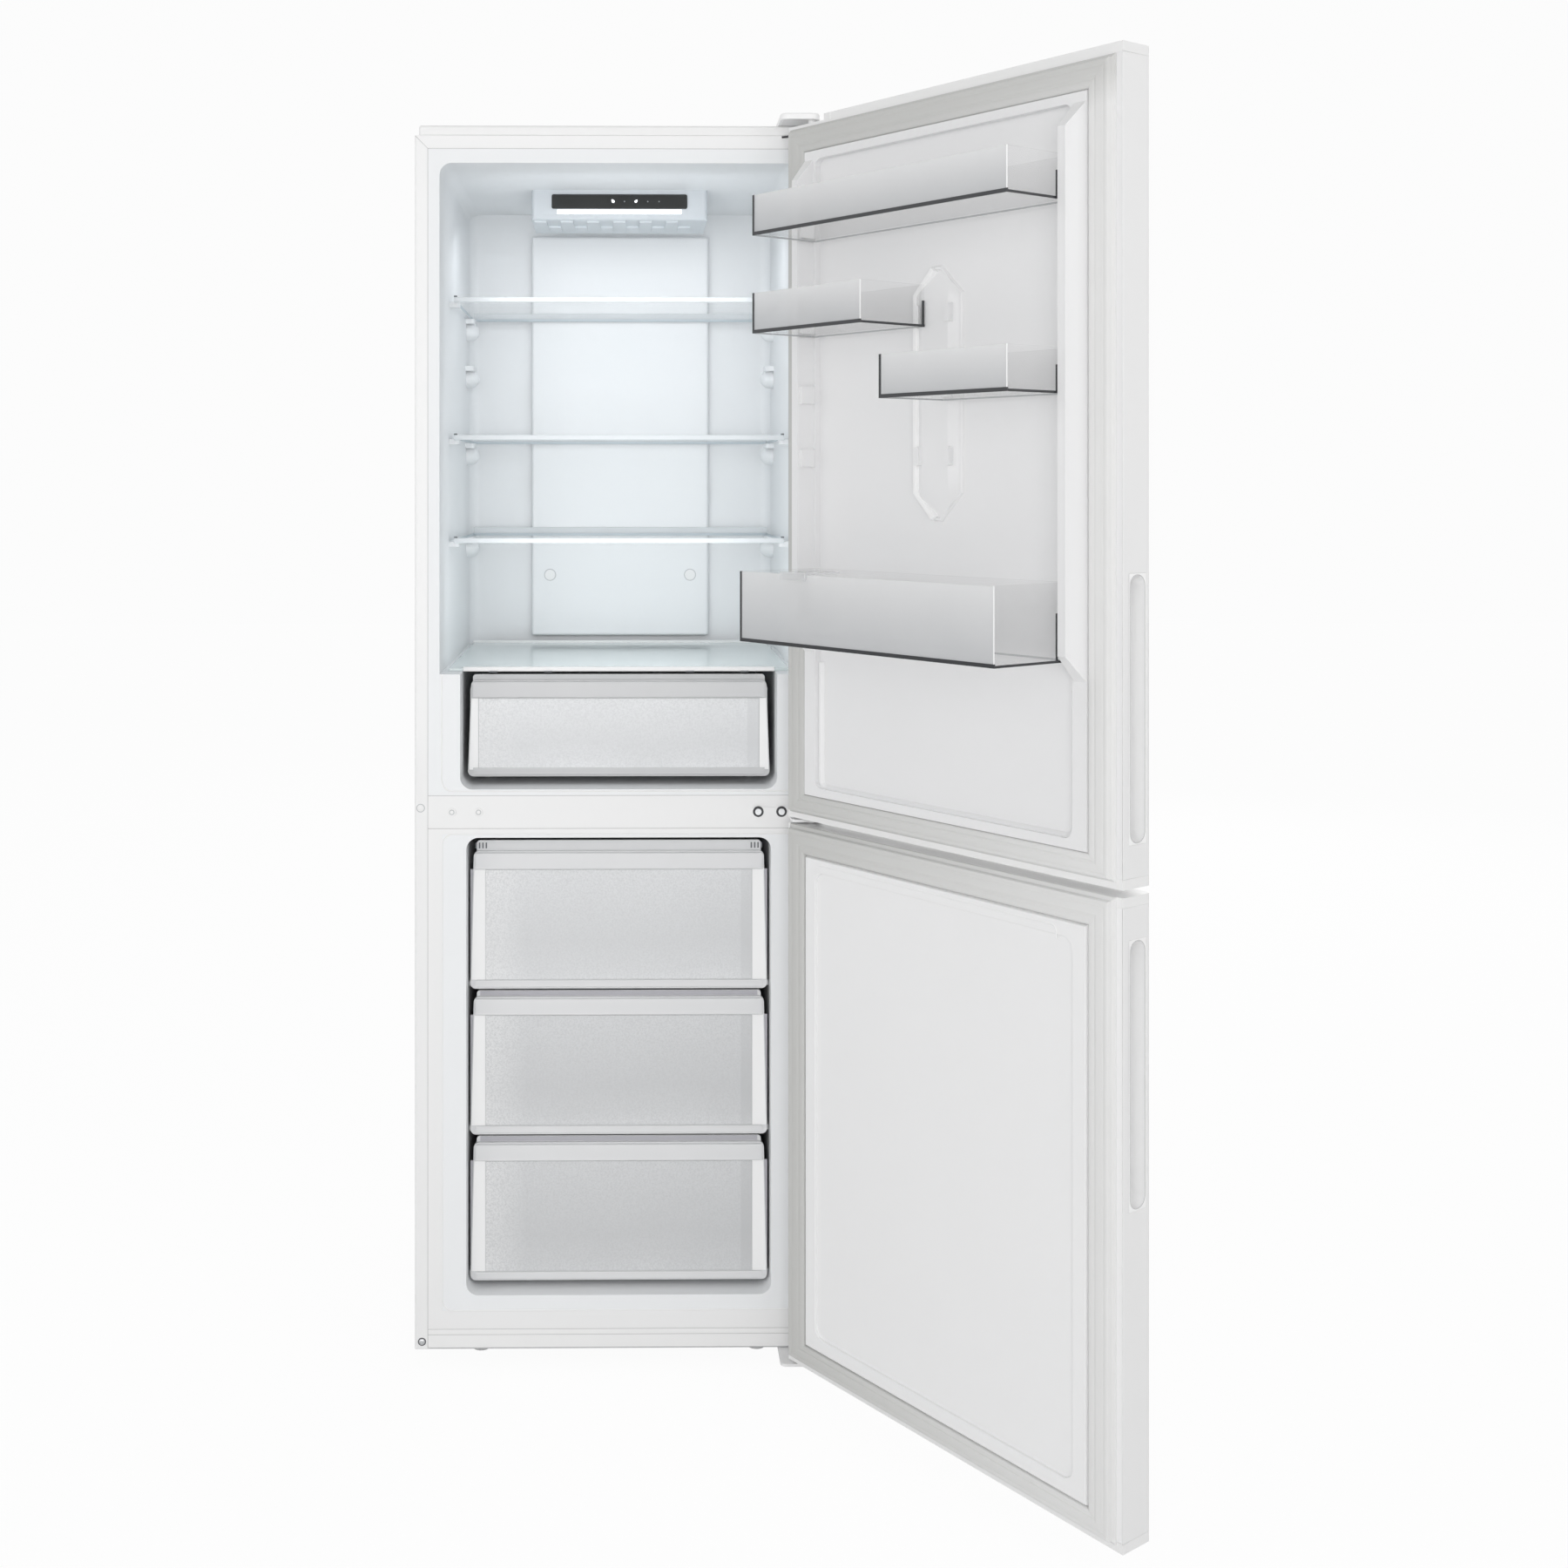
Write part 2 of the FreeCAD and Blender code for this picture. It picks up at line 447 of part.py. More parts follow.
heads = []
for x in SCREWS:
    heads.append(cut(fuse(rod("y", x, "front - 5.2", gap_mid + " + 5", 4.6, 2.2),
                          rod("y", x, "front - 3.4", gap_mid + " + 5", 2.95, 3.4)),
                     box(x + " - 3", x + " + 3", "front - 6", "front - 4.2", gap_mid + " + 4.4",
                         gap_mid + " + 5.6"),
                     box(x + " - 0.6", x + " + 0.6", "front - 6", "front - 4.2", gap_mid + " + 2",
                         gap_mid + " + 8")))
node("hinge_screws", *heads)

# Levelling feet in front, rollers behind.
for s, label in ((-1, "foot_left"), (1, "foot_right")):
    x = "%d * foot_half" % s
    node(label, fuse(rod("z", x, "foot_y", 0, "foot_radius", "foot_h"),
                     rod("z", x, "foot_y", "foot_h - 1", "stud_radius", "base_z - foot_h + 1"),
                     rod("z", x, "foot_y", "foot_h", "stud_radius + 4", 5)))
brackets = []
for s in BOTH:
    for out in (-1, 1):
        mid = "%d * roller_half + %d * (roller_w / 2 + 2.5)" % (s, out)
        brackets.append(box(mid + " - 1.5", mid + " + 1.5", "roller_y - 16", "roller_y + 16",
                            "roller_radius - 6", "base_z"))
    brackets.append(rod("x", "%d * roller_half - roller_w / 2 - 5" % s, "roller_y", "roller_radius",
                        "axle_radius", "roller_w + 10"))
carriers = [fuse(*brackets[3 * i:3 * i + 3]) for i in range(2)]
node("roller_brackets", *carriers)
for s, label in ((-1, "roller_left"), (1, "roller_right")):
    x = "%d * roller_half - roller_w / 2" % s
    wheel = cut(rod("x", x, "roller_y", "roller_radius", "roller_radius", "roller_w"),
                rod("x", x + " - 1", "roller_y", "roller_radius", "axle_radius + fit", "roller_w + 2"))
    node(label, wheel)

# Glass shelves, each with a front strip and a raised strip behind.
for level, number in (("shelf_a", 1), ("shelf_b", 2), ("shelf_c", 3)):
    node("glass_shelf_%d" % number, box("-shelf_half", "shelf_half", "shelf_y + trim_deep", "shelf_end - 4",
                                        level, level + " + glass"))
    strip = rounded(box("-shelf_half", "shelf_half", "shelf_y", "shelf_y + trim_deep", level + " - 2",
                        level + " - 2 + trim_high"), 2.0, x="")
    lip = rounded(box("-shelf_half", "shelf_half", "shelf_end - 4", "shelf_end", level,
                      level + " + rear_lip"), 1.2, x="")
    node("shelf_trim_%d" % number, strip, lip)
cover_y0 = "front + cover_set"
node("crisper_cover_glass", box("-shelf_half", "shelf_half", cover_y0 + " + trim_deep", "shelf_end - 4",
                                "ledge_z + seat", "ledge_z + seat + glass"))
strip = rounded(box("-crisper_half + 1", "crisper_half - 1", cover_y0, cover_y0 + " + trim_deep",
                    "ledge_z + seat", "ledge_z + seat + trim_high - 1"), 2.0, x="")
lip = box("-shelf_half", "shelf_half", "shelf_end - 4", "shelf_end", "ledge_z + seat",
          "ledge_z + seat + glass + 4")
node("crisper_cover_trim", strip, lip)


def drawer(label, half, y0, y1, z0, z1, floor_up, inset, rise, foot):
    """An open tub behind a taller front with a grip band, a frosted face and a bottom lip."""
    span_y = (y0, "%s + front_t" % y0)
    front = rounded(roof(z0, z1, ("-(%s)" % half, half) + span_y,
                         ("-(%s - rake)" % half, "%s - rake" % half) + span_y), 8.0, y="")
    band = rounded(box("-(%s) + rake + 3" % half, "%s - rake - 3" % half, "%s - 5" % y0, y0, "%s - 26" % z1,
                       "%s - 2" % z1), 2.2, x="")
    lip = rounded(box("-(%s) + 8" % half, "%s - 8" % half, "%s - 3" % y0, y0, "%s + 3" % z0,
                      "%s + 13" % z0), 1.3, x="")
    wide_x = "%s - %s" % (half, inset)
    tub = rounded(box("-(%s)" % wide_x, wide_x, "%s + front_t" % y0, y1, "%s + %s" % (z0, floor_up),
                      "%s - 12" % z1), 12.0, z="y+")
    hollow = rounded(box("-(%s) + wall" % wide_x, "%s - wall" % wide_x, "%s + front_t" % y0,
                         "%s - wall" % y1,
                         "%s + %s + wall" % (z0, floor_up), "%s + 1" % z1), 9.5, z="y+")
    rim = rounded(box("-(%s) + 4" % wide_x, "%s - 4" % wide_x, span_y[1], span_y[1] + " + wall",
                      "%s - 14" % z1, "%s + %s" % (z1, rise)),
                  5.0, y="z+")
    node(label, fuse(front, band, lip, rim, cut(tub, hollow), *foot))


skids = []
for s in BOTH:
    x0, x1 = side(s, "crisper_w / 2 - 30", "crisper_w / 2 - 22")
    skids.append(box(x0, x1, "crisper_y + 70", "back_y - crisper_back - 30", "fridge_floor + seat",
                     "crisper_low + 7"))
drawer("crisper_drawer", "crisper_w / 2", "crisper_y", "back_y - crisper_back", "crisper_low",
       "crisper_high", 6, "3", "rim_up", skids)
for level, number, end, rise in (("drawer_a", 1, "cover_y - tub_gap", "2 * rim_up - 1"),
                                 ("drawer_b", 2, "cover_y - tub_gap", "rim_up"),
                                 ("drawer_c", 3, "step_y - tub_gap", "rim_up")):
    drawer("freezer_drawer_%d" % number, "drawer_half", "drawer_y", end, level, level + " + drawer_h",
           "tub_up", "tub_inset", rise, [])


def door_set(name, low, high, grip_low, grip_high, seal_low, seal_high, holes, liner):
    """The shut door: skin, two end caps, foam, side grip, inner liner and seal."""
    top = high + " - end_cap"
    bottom = low + " + end_cap"
    outer = rounded(box("-half", "half", "door_out", "door_in", bottom, top), 6.0, z="y-")
    inner = rounded(box("-half + skin", "half - skin", "door_out + skin", "door_in + 1", bottom + " - 1",
                        top + " + 1"), 5.0, z="y-")
    y_back, y_front = "door_in - grip_in", "door_in - grip_in - grip_w"
    slot = box("-half - 1", "-half + 5", y_front + " - grip_wall", y_back + " + grip_wall",
               grip_low + " - grip_wall", grip_high + " + grip_wall")
    node(name + "_skin", cut(outer, inner, slot), door=True)
    caps = []
    for z0, z1, notch, hole in ((low, bottom, None, holes[0]), (top, high, holes[2], holes[1])):
        cap = rounded(box("-half", "half", "door_out", "door_in", z0, z1), 6.0, z="y-")
        tools = [rod("z", "hinge_x", "hinge_y", hole[0], "pin_radius + fit", hole[1])]
        if notch:
            tools.append(box("hinge_x - 55", "half + 1", "door_out - 1", "door_in + 1",
                             "%s - %s" % (high, notch), high + " + 1"))
        caps.append(cut(cap, *tools))
    node(name + "_caps", *caps, door=True)
    pocket = box("-half", "-half + grip_deep + grip_wall", y_front + " - grip_wall",
                 y_back + " + grip_wall", grip_low + " - grip_wall", grip_high + " + grip_wall")
    hand = rounded(box("-half - 1", "-half + grip_deep", y_front, y_back, grip_low, grip_high), 12.0, x="")
    node(name + "_grip", cut(pocket, hand), door=True)
    split = "-half + grip_deep + grip_wall"
    y0, y1 = "door_out + skin", "door_in - liner"
    pin_hole = rod("z", "hinge_x", "hinge_y", low, "pin_radius + 3", 24)
    pin_hole_top = rod("z", "hinge_x", "hinge_y", high + " - 24", "pin_radius + 3", 24)
    slabs = [cut(rounded(box("hinge_x - 20", "half - skin", y0, y1, bottom, top), 5.0, z="x+y-"),
                 pin_hole, pin_hole_top),
             box(split, "hinge_x - 20", y0, y1, bottom, top),
             rounded(box("-half + skin", split, y0, y1, bottom, grip_low + " - grip_wall"), 5.0, z="x-y-"),
             rounded(box("-half + skin", split, y0, y1, grip_high + " + grip_wall", top), 5.0, z="x-y-"),
             rounded(box("-half + skin", split, y0, y_front + " - grip_wall", grip_low + " - grip_wall",
                         grip_high + " + grip_wall"), 5.0, z="x-y-"),
             box("-half + skin", split, y_back + " + grip_wall", y1, grip_low + " - grip_wall",
                 grip_high + " + grip_wall")]
    node(name + "_foam", *slabs, door=True)
    plate = box("-half + skin", "half - skin", "door_in - liner", "door_in", bottom, top)
    node(name + "_liner", fuse(plate, *liner), door=True)
    ring = rounded(box("-seal_far", "seal_out", "door_in", "front - seal_free", seal_low, seal_high), 14.0,
                   y="")
    ring_in = rounded(box("-seal_in", "seal_in", "door_in - 1", "front + 1", seal_low + " + seal_w",
                          seal_high + " - seal_w"), 3.0, y="")
    bulb = rounded(cut(ring, ring_in), 3.0, x="y+", z="y+")
    node(name + "_gasket", bulb, door=True)


# Upper door liner: a shallow border, two side walls that carry the balconies, a middle rib and lugs.
p_top = "door_in + dyke_p"
low_p = "door_in + border_p"
border = cut(taper("door_in", low_p, ("-dyke_out", "dyke_out", "dyke_low", "dyke_top"),
                   ("-dyke_out + 2", "dyke_out - 2", "dyke_low + 2", "dyke_top - 2")),
             rounded(box("-dyke_out + border_w", "dyke_out - border_w", "door_in - 1", low_p + " + 1",
                         "dyke_low + border_z", "dyke_top - border_z"), 12.0, y=""))
dykes = []
for s in BOTH:
    root = side(s, "dyke_in", "dyke_out") + ("dyke_step - 8", "dyke_top - 4")
    crest = side(s, "dyke_in", "dyke_out - dyke_lean") + ("dyke_step - 8 + dyke_slope",
                                                          "dyke_top - 4 - dyke_slope")
    dykes.append(taper("door_in", p_top, root, crest))
rib_y = ("door_in", "door_in + rib_p")
prism = fuse(box("-rib_half", "rib_half", "door_in", "door_in + rib_p", "rib_low + rib_tip",
                 "rib_high - rib_tip"),
             roof("rib_high - rib_tip", "rib_high", ("-rib_half", "rib_half") + rib_y, ("-6", "6") + rib_y),
             roof("rib_low", "rib_low + rib_tip", ("-6", "6") + rib_y, ("-rib_half", "rib_half") + rib_y))
slopes = []
for s in BOTH:
    foot = side(s, "rib_half", "rib_half + 9") + ("rib_low - 9", "rib_high + 9")
    brow = side(s, "rib_flat", "rib_half + 9") + ("rib_low - 9", "rib_high + 9")
    slopes.append(taper("door_in", "door_in + rib_p", foot, brow))
across = ("-rib_half - 9", "rib_half + 9")
for foot, brow in ((("rib_high", "rib_high + 9"), ("rib_high - rib_tip + 8", "rib_high + 9")),
                   (("rib_low - 9", "rib_low"), ("rib_low - 9", "rib_low + rib_tip - 8"))):
    slopes.append(taper("door_in", "door_in + rib_p", across + foot, across + brow))
pad = cut(prism, *slopes)
lug_y = ("door_in + 12", "door_in + 12 + lug")
wall_lug = ("dyke_in - lug_out", "dyke_in + 2")
stud_y = ("door_in", "door_in + stud_p")
stud = ("bin_mid + 6", "bin_mid + 6 + stud_w")
lugs = []
for level in ("bin_a", "bin_b", "bin_c", "bin_spare", "bin_d"):
    for s in BOTH:
        x0, x1 = side(s, *wall_lug)
        lugs.append(box(x0, x1, lug_y[0], lug_y[1], level + " + 4", level + " + 4 + lug"))
        if level in ("bin_b", "bin_c", "bin_spare"):
            x0, x1 = side(s, *stud)
            lugs.append(box(x0, x1, stud_y[0], stud_y[1], level + " + 4", level + " + 4 + lug"))
upper_liner = [border, pad] + dykes + lugs

grip_a = ("upper_low + grip_from_gap", "upper_low + grip_from_gap + grip_len")
grip_b = ("lower_high - grip_from_gap - grip_len", "lower_high - grip_from_gap")
door_set("upper_door", "upper_low", "upper_high", grip_a[0], grip_a[1], "upper_low + seal_low",
         "upper_high - seal_top",
         (("upper_low - 1", 40), ("upper_high - 40", 41), "9"), upper_liner)
panel_low = "lower_low + seal_low + seal_w + 1"
panel_high = "lower_high - seal_low - seal_w - 1"
panel_out = taper("door_in", "door_in + 10", ("-dyke_out", "dyke_out", panel_low, panel_high),
                  ("-dyke_out + 4", "dyke_out - 4", panel_low + " + 4", panel_high + " - 4"))
panel_in = rounded(box("-dyke_out + 24", "dyke_out - 24", "door_in + 6", "door_in + 11",
                       panel_low + " + 22", panel_high + " - 22"), 16.0, y="")
door_set("lower_door", "lower_low", "lower_high", grip_b[0], grip_b[1], "lower_low + seal_low",
         "lower_high - seal_low",
         (("lower_low - 1", 40), ("lower_high - 40", 41), None), [cut(panel_out, panel_in)])


def balcony(label, x0, x1, low, high, front, notches):
    """A clear bin with rounded front corners and a notch over each lug."""
    y0, y1 = "door_in + bin_back", "door_in + " + front
    outer = rounded(box(x0, x1, y0, y1, low, "%s + %s" % (low, high)), size("bin_radius"), z="y+")
    inner = rounded(box(x0 + " + bin_wall", x1 + " - bin_wall", y0 + " + bin_wall", y1 + " - bin_wall",
                        low + " + bin_wall", "%s + %s + 1" % (low, high)),
                    1.2, z="y+")
    tools = [inner]
    for (a, b), (near, far) in notches:
        tools.append(box(a + " - slip", b + " + slip", near + " - slip", far + " + slip", low + " - 1",
                         low + " + 4 + lug + seat"))
    node(label, cut(outer, *tools), door=True)


def wall_notch(s):
    return side(s, *wall_lug), lug_y


def stud_notch(s):
    return side(s, *stud), stud_y


balcony("balcony_top", "-bin_end", "bin_end", "bin_a", "bin_high", "bin_front",
        [wall_notch(s) for s in BOTH])
balcony("balcony_left", "bin_mid", "bin_end", "bin_b", "bin_high", "bin_front",
        [wall_notch(1), stud_notch(1)])
balcony("balcony_right", "-bin_end", "-bin_mid", "bin_c", "bin_high", "bin_front",
        [wall_notch(-1), stud_notch(-1)])
balcony("balcony_bottle", "-bin_end", "bin_end", "bin_d", "bottle_high", "bottle_front",
        [wall_notch(s) for s in BOTH])
rim = "bin_d + bottle_high"
clip_y = "door_in + bottle_front"
clip = box("clip_at - clip_w / 2", "clip_at + clip_w / 2", clip_y + " - 60", clip_y + " + 3.5",
           rim + " - 34", rim + " + 2.5")
clip_slot = box("clip_at - clip_w", "clip_at + clip_w", clip_y + " - bin_wall - 0.2", clip_y + " + 0.2",
                rim + " - 40", rim + " + seat")
clip_room = box("clip_at - clip_w", "clip_at + clip_w", clip_y + " - 70", clip_y + " - bin_wall - 2.7",
                rim + " - 40", rim + " + seat")
clip_trim = box("clip_at - clip_w", "clip_at + clip_w", clip_y, clip_y + " + 5", rim + " - 40",
                rim + " - clip_lip")
node("bottle_clip", cut(clip, clip_slot, clip_room, clip_trim), door=True)

doc.recompute()
broken = [o.Label for o in doc.Objects if "Invalid" in o.State or "Error" in o.State]
assert not broken, broken
for piece in NODES:
    shape = piece.Shape
    assert not shape.isNull() and shape.isValid() and shape.Solids, piece.Label
    shape.exportStep("parts/%s.step" % piece.Label)
print(len(NODES), "pieces")
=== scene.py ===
import json
import math

import bmesh
import bpy
from mathutils import Matrix, Vector


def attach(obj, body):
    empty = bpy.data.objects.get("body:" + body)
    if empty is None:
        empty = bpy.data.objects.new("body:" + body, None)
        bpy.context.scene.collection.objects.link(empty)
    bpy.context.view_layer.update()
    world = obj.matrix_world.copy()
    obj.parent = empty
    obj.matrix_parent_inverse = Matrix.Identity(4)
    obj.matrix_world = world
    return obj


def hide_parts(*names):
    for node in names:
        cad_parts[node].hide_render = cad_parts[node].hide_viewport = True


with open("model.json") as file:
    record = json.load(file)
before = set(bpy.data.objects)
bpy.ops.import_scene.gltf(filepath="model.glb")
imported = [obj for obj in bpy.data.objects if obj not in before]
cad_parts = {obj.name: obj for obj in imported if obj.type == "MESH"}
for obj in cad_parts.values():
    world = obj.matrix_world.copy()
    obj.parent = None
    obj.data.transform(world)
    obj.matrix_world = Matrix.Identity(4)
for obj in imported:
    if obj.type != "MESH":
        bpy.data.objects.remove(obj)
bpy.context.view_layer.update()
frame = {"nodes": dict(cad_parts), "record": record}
nodes = frame["nodes"]
print("frame loaded:", len(nodes), "nodes")

# where the cabinet stands, in metres, and how far its doors stand open
cabinet = {"midX": 0.205, "midY": 0.235, "hingeX": 0.2775, "hingeY": -0.333, "openAngle": 126.0}
millimetre = 0.001
opened = math.radians(cabinet["openAngle"])
stand = Matrix.Translation((cabinet["midX"], cabinet["midY"], 0))
toMetres = Matrix.Scale(millimetre, 4)
hinge = Vector((cabinet["hingeX"], cabinet["hingeY"], 0))
swing = Matrix.Translation(hinge) @ Matrix.Rotation(opened, 4, "Z") @ Matrix.Translation(-hinge)
cabinetPlace = stand @ toMetres
doorPlace = stand @ swing @ toMetres
white = (1, 1, 1, 1)
black = (0, 0, 0, 1)


class Wire:
    def __init__(self, graph, socket):
        self.graph = graph
        self.socket = socket

    def math(self, operation, first, second):
        return self.graph.add("ShaderNodeMath", {"operation": operation}, {0: first, 1: second})

    def __add__(self, other):
        return self.math("ADD", self, other)

    def __radd__(self, other):
        return self.math("ADD", other, self)

    def __sub__(self, other):
        return self.math("SUBTRACT", self, other)

    def __rsub__(self, other):
        return self.math("SUBTRACT", other, self)

    def __mul__(self, other):
        return self.math("MULTIPLY", self, other)

    def __rmul__(self, other):
        return self.math("MULTIPLY", other, self)

    def __abs__(self):
        return self.math("ABSOLUTE", self, 0)

    def __gt__(self, other):
        return self.math("GREATER_THAN", self, other)

    def most(self, other):
        return self.math("MAXIMUM", self, other)

    def clip(self):
        return self.graph.add("ShaderNodeClamp", {}, {"Value": self})


class Graph:
    def __init__(self, tree):
        self.tree = tree
        self.tree.nodes.clear()

    def add(self, kind, settings, sockets, give=0):
        made = self.tree.nodes.new(kind)
        for name, value in settings.items():
            if name == "stops":
                self.fillRamp(made.color_ramp.elements, value)
            else:
                setattr(made, name, value)
        for name, value in sockets.items():
            self.feed(made.inputs[name], value)
        return Wire(self, made.outputs[give]) if len(made.outputs) else made

    def fillRamp(self, elements, stops):
        while len(elements) < len(stops):
            elements.new(0.5)
        for element, (position, colour) in zip(elements, stops):
            element.position = position
            element.color = colour

    def feed(self, socket, value):
        if isinstance(value, Wire):
            self.tree.links.new(value.socket, socket)
        else:
            socket.default_value = value

    def ray(self, kind):
        return self.add("ShaderNodeLightPath", {}, {}, kind)


class Finish(Graph):
    def __init__(self, name):
        self.material = bpy.data.materials.new(name)
        self.material.use_nodes = True
        super().__init__(self.material.node_tree)
        self.shader = self.tree.nodes.new("ShaderNodeBsdfPrincipled")
        self.output = self.tree.nodes.new("ShaderNodeOutputMaterial")
        self.tree.links.new(self.shader.outputs[0], self.output.inputs["Surface"])

    def set(self, **sockets):
        for name, value in sockets.items():
            self.feed(self.shader.inputs[name.replace("_", " ")], value)

    def place(self, give="Object"):
        return self.add("ShaderNodeTexCoord", {}, {}, give)

    def noise(self, scale, detail=3.0, roughness=0.5):
        sockets = {"Vector": self.place(), "Scale": scale, "Detail": detail, "Roughness": roughness}
        return self.add("ShaderNodeTexNoise", {}, sockets, "Fac")

    def mix(self, factor, first, second):
        return self.add("ShaderNodeMix", {"data_type": "RGBA"}, {0: factor, 6: first, 7: second}, 2)

    def parts(self, vector):
        made = self.add("ShaderNodeSeparateXYZ", {}, {"Vector": vector})
        return [Wire(self, made.socket.node.outputs[axis]) for axis in "XYZ"]

    def along(self, vector, direction):
        sockets = {0: vector, 1: direction}
        return self.add("ShaderNodeVectorMath", {"operation": "DOT_PRODUCT"}, sockets, "Value")

    def bump(self, height, strength, distance):
        sockets = {"Height": height, "Strength": strength, "Distance": distance}
        return self.add("ShaderNodeBump", {}, sockets)


def shade(colour, factor):
    return tuple(c * factor for c in colour[:3]) + (1.0,)


# defaults of a moulded finish
plainLook = {"metal": 0.0, "ior": 1.48, "alpha": 1.0, "coat": 0.0, "grainDepth": 0.0002}


def moulded(name, own):
    look = {**plainLook, **own}
    made = Finish(name)
    cloud = made.noise(look["cloudScale"], detail=4.0)
    grain = made.noise(look["grainScale"], detail=2.0)
    pale, deep = 1 + look["shift"], 1 - look["shift"]
    made.set(Base_Color=made.mix(cloud, shade(look["colour"], deep), shade(look["colour"], pale)))
    made.set(Roughness=(look["roughness"] - look["polish"]) + cloud * (2 * look["polish"]))
    made.set(Normal=made.bump(grain, look["grain"], look["grainDepth"]), Metallic=look["metal"])
    made.set(IOR=look["ior"], Alpha=look["alpha"], Coat_Weight=look["coat"])
    return made.material


# camera: level, a little right of the cabinet's middle, its frame shifted right and down for the doors
view = {"place": (0.2165, -2.686, 1.2845), "tilt": 90.0, "turn": -0.62, "lens": 41.3, "sensor": 36.0,
        "shift": (0.0879, -0.1904)}
cameraData = bpy.data.cameras.new("camera")
cameraData.lens = view["lens"]
cameraData.sensor_width = view["sensor"]
cameraData.shift_x, cameraData.shift_y = view["shift"]
camera = bpy.data.objects.new("camera", cameraData)
camera.location = view["place"]
camera.rotation_euler = (math.radians(view["tilt"]), 0, math.radians(view["turn"]))
bpy.context.scene.collection.objects.link(camera)
bpy.context.scene.camera = camera
bpy.context.scene.view_settings.view_transform = "Standard"

# studio: even white surround, which the camera sees as white paper
studio = {"surround": 0.50, "paper": 0.973}
world = bpy.data.worlds.new("surround")
bpy.context.scene.world = world
world.use_nodes = True
surround = Graph(world.node_tree)
glassy = surround.ray("Is Glossy Ray").most(surround.ray("Is Transmission Ray"))
seen = surround.ray("Is Camera Ray").most(glassy)
glow = surround.add("ShaderNodeBackground", {}, {"Color": white, "Strength": studio["surround"]})
paper = surround.add("ShaderNodeBackground", {}, {"Color": white, "Strength": studio["paper"]})
backdrop = surround.add("ShaderNodeMixShader", {}, {0: seen, 1: glow, 2: paper})
surround.add("ShaderNodeOutputWorld", {}, {"Surface": backdrop})

# a large soft lamp by the camera, fills from the sides and behind, and the cool light inside the fridge
neutral = (1, 1, 1)
cool = (0.93, 0.965, 1.0)
lamps = {
    "front": {"place": (-0.2, -4.6, 1.5), "aim": (0.2, 0.2, 0.9), "size": (3.2, 2.6), "power": 61.5},
    "left": {"place": (-3.0, -1.8, 1.9), "aim": (0.5, -0.2, 0.9), "size": (2.0, 2.4), "power": 17.0},
    "right": {"place": (2.7, -2.7, 2.6), "aim": (0.7, -0.5, 1.5), "size": (1.6, 1.6), "power": 16.0},
    "rear": {"place": (1.9, 4.4, 2.3), "aim": (0.4, 0.2, 0.9), "size": (3.2, 2.6), "power": 46.0},
    "ceiling": {"place": (0.205, 0.165, 1.686), "aim": (0.205, 0.29, 1.386), "size": (0.44, 0.05),
                "power": 0.27, "tint": cool},
    "upward": {"place": (0.205, 0.03, 1.59), "aim": (0.205, 0.16, 1.75), "size": (0.40, 0.08), "power": 0.062,
               "tint": cool},
    "fridge": {"place": (0.205, -0.03, 1.40), "aim": (0.205, 0.43, 1.34), "size": (0.40, 0.66), "power": 0.35,
               "tint": cool},
    "crisper": {"place": (0.205, 0.0, 1.13), "aim": (0.205, 0.43, 1.05), "size": (0.40, 0.12), "power": 0.175,
                "tint": (0.93, 0.97, 1.0)},
}
for name, lamp in lamps.items():
    lampData = bpy.data.lights.new(name, "AREA")
    lampData.shape = "RECTANGLE"
    lampData.size, lampData.size_y = lamp["size"]
    lampData.energy = lamp["power"]
    lampData.color = lamp.get("tint", neutral)
    lampObject = bpy.data.objects.new(name + "Lamp", lampData)
    lampObject.location = lamp["place"]
    toward = Vector(lamp["aim"]) - Vector(lamp["place"])
    lampObject.rotation_euler = toward.to_track_quat("-Z", "Y").to_euler()
    lampObject.visible_camera = False
    bpy.context.scene.collection.objects.link(lampObject)

# floor: mostly its own white to the camera, with the object's shadow in the rest
paperFloor = {"colour": (0.9, 0.9, 0.9, 1), "roughness": 0.9, "glow": 0.95, "half": 14.0, "level": -0.0005}
floorFinish = Finish("paperFloor")
floorFinish.set(Base_Color=paperFloor["colour"], Roughness=paperFloor["roughness"])
floorGlow = floorFinish.add("ShaderNodeEmission", {}, {"Color": white, "Strength": 1.0})
floorLit = Wire(floorFinish, floorFinish.shader.outputs[0])
floorShare = floorFinish.ray("Is Camera Ray") * paperFloor["glow"]
floorMix = floorFinish.add("ShaderNodeMixShader", {}, {0: floorShare, 1: floorLit, 2: floorGlow})
floorFinish.feed(floorFinish.output.inputs["Surface"], floorMix)
floorMesh = bpy.data.meshes.new("paperFloor")
floorWays = ((-1, -1), (1, -1), (1, 1), (-1, 1))
floorCorners = [(x * paperFloor["half"], y * paperFloor["half"], paperFloor["level"]) for x, y in floorWays]
floorMesh.from_pydata(floorCorners, [], [(0, 1, 2, 3)])
floor = bpy.data.objects.new("paperFloor", floorMesh)
floor.data.materials.append(floorFinish.material)
bpy.context.scene.collection.objects.link(floor)
print("camera, lamps and floor set")

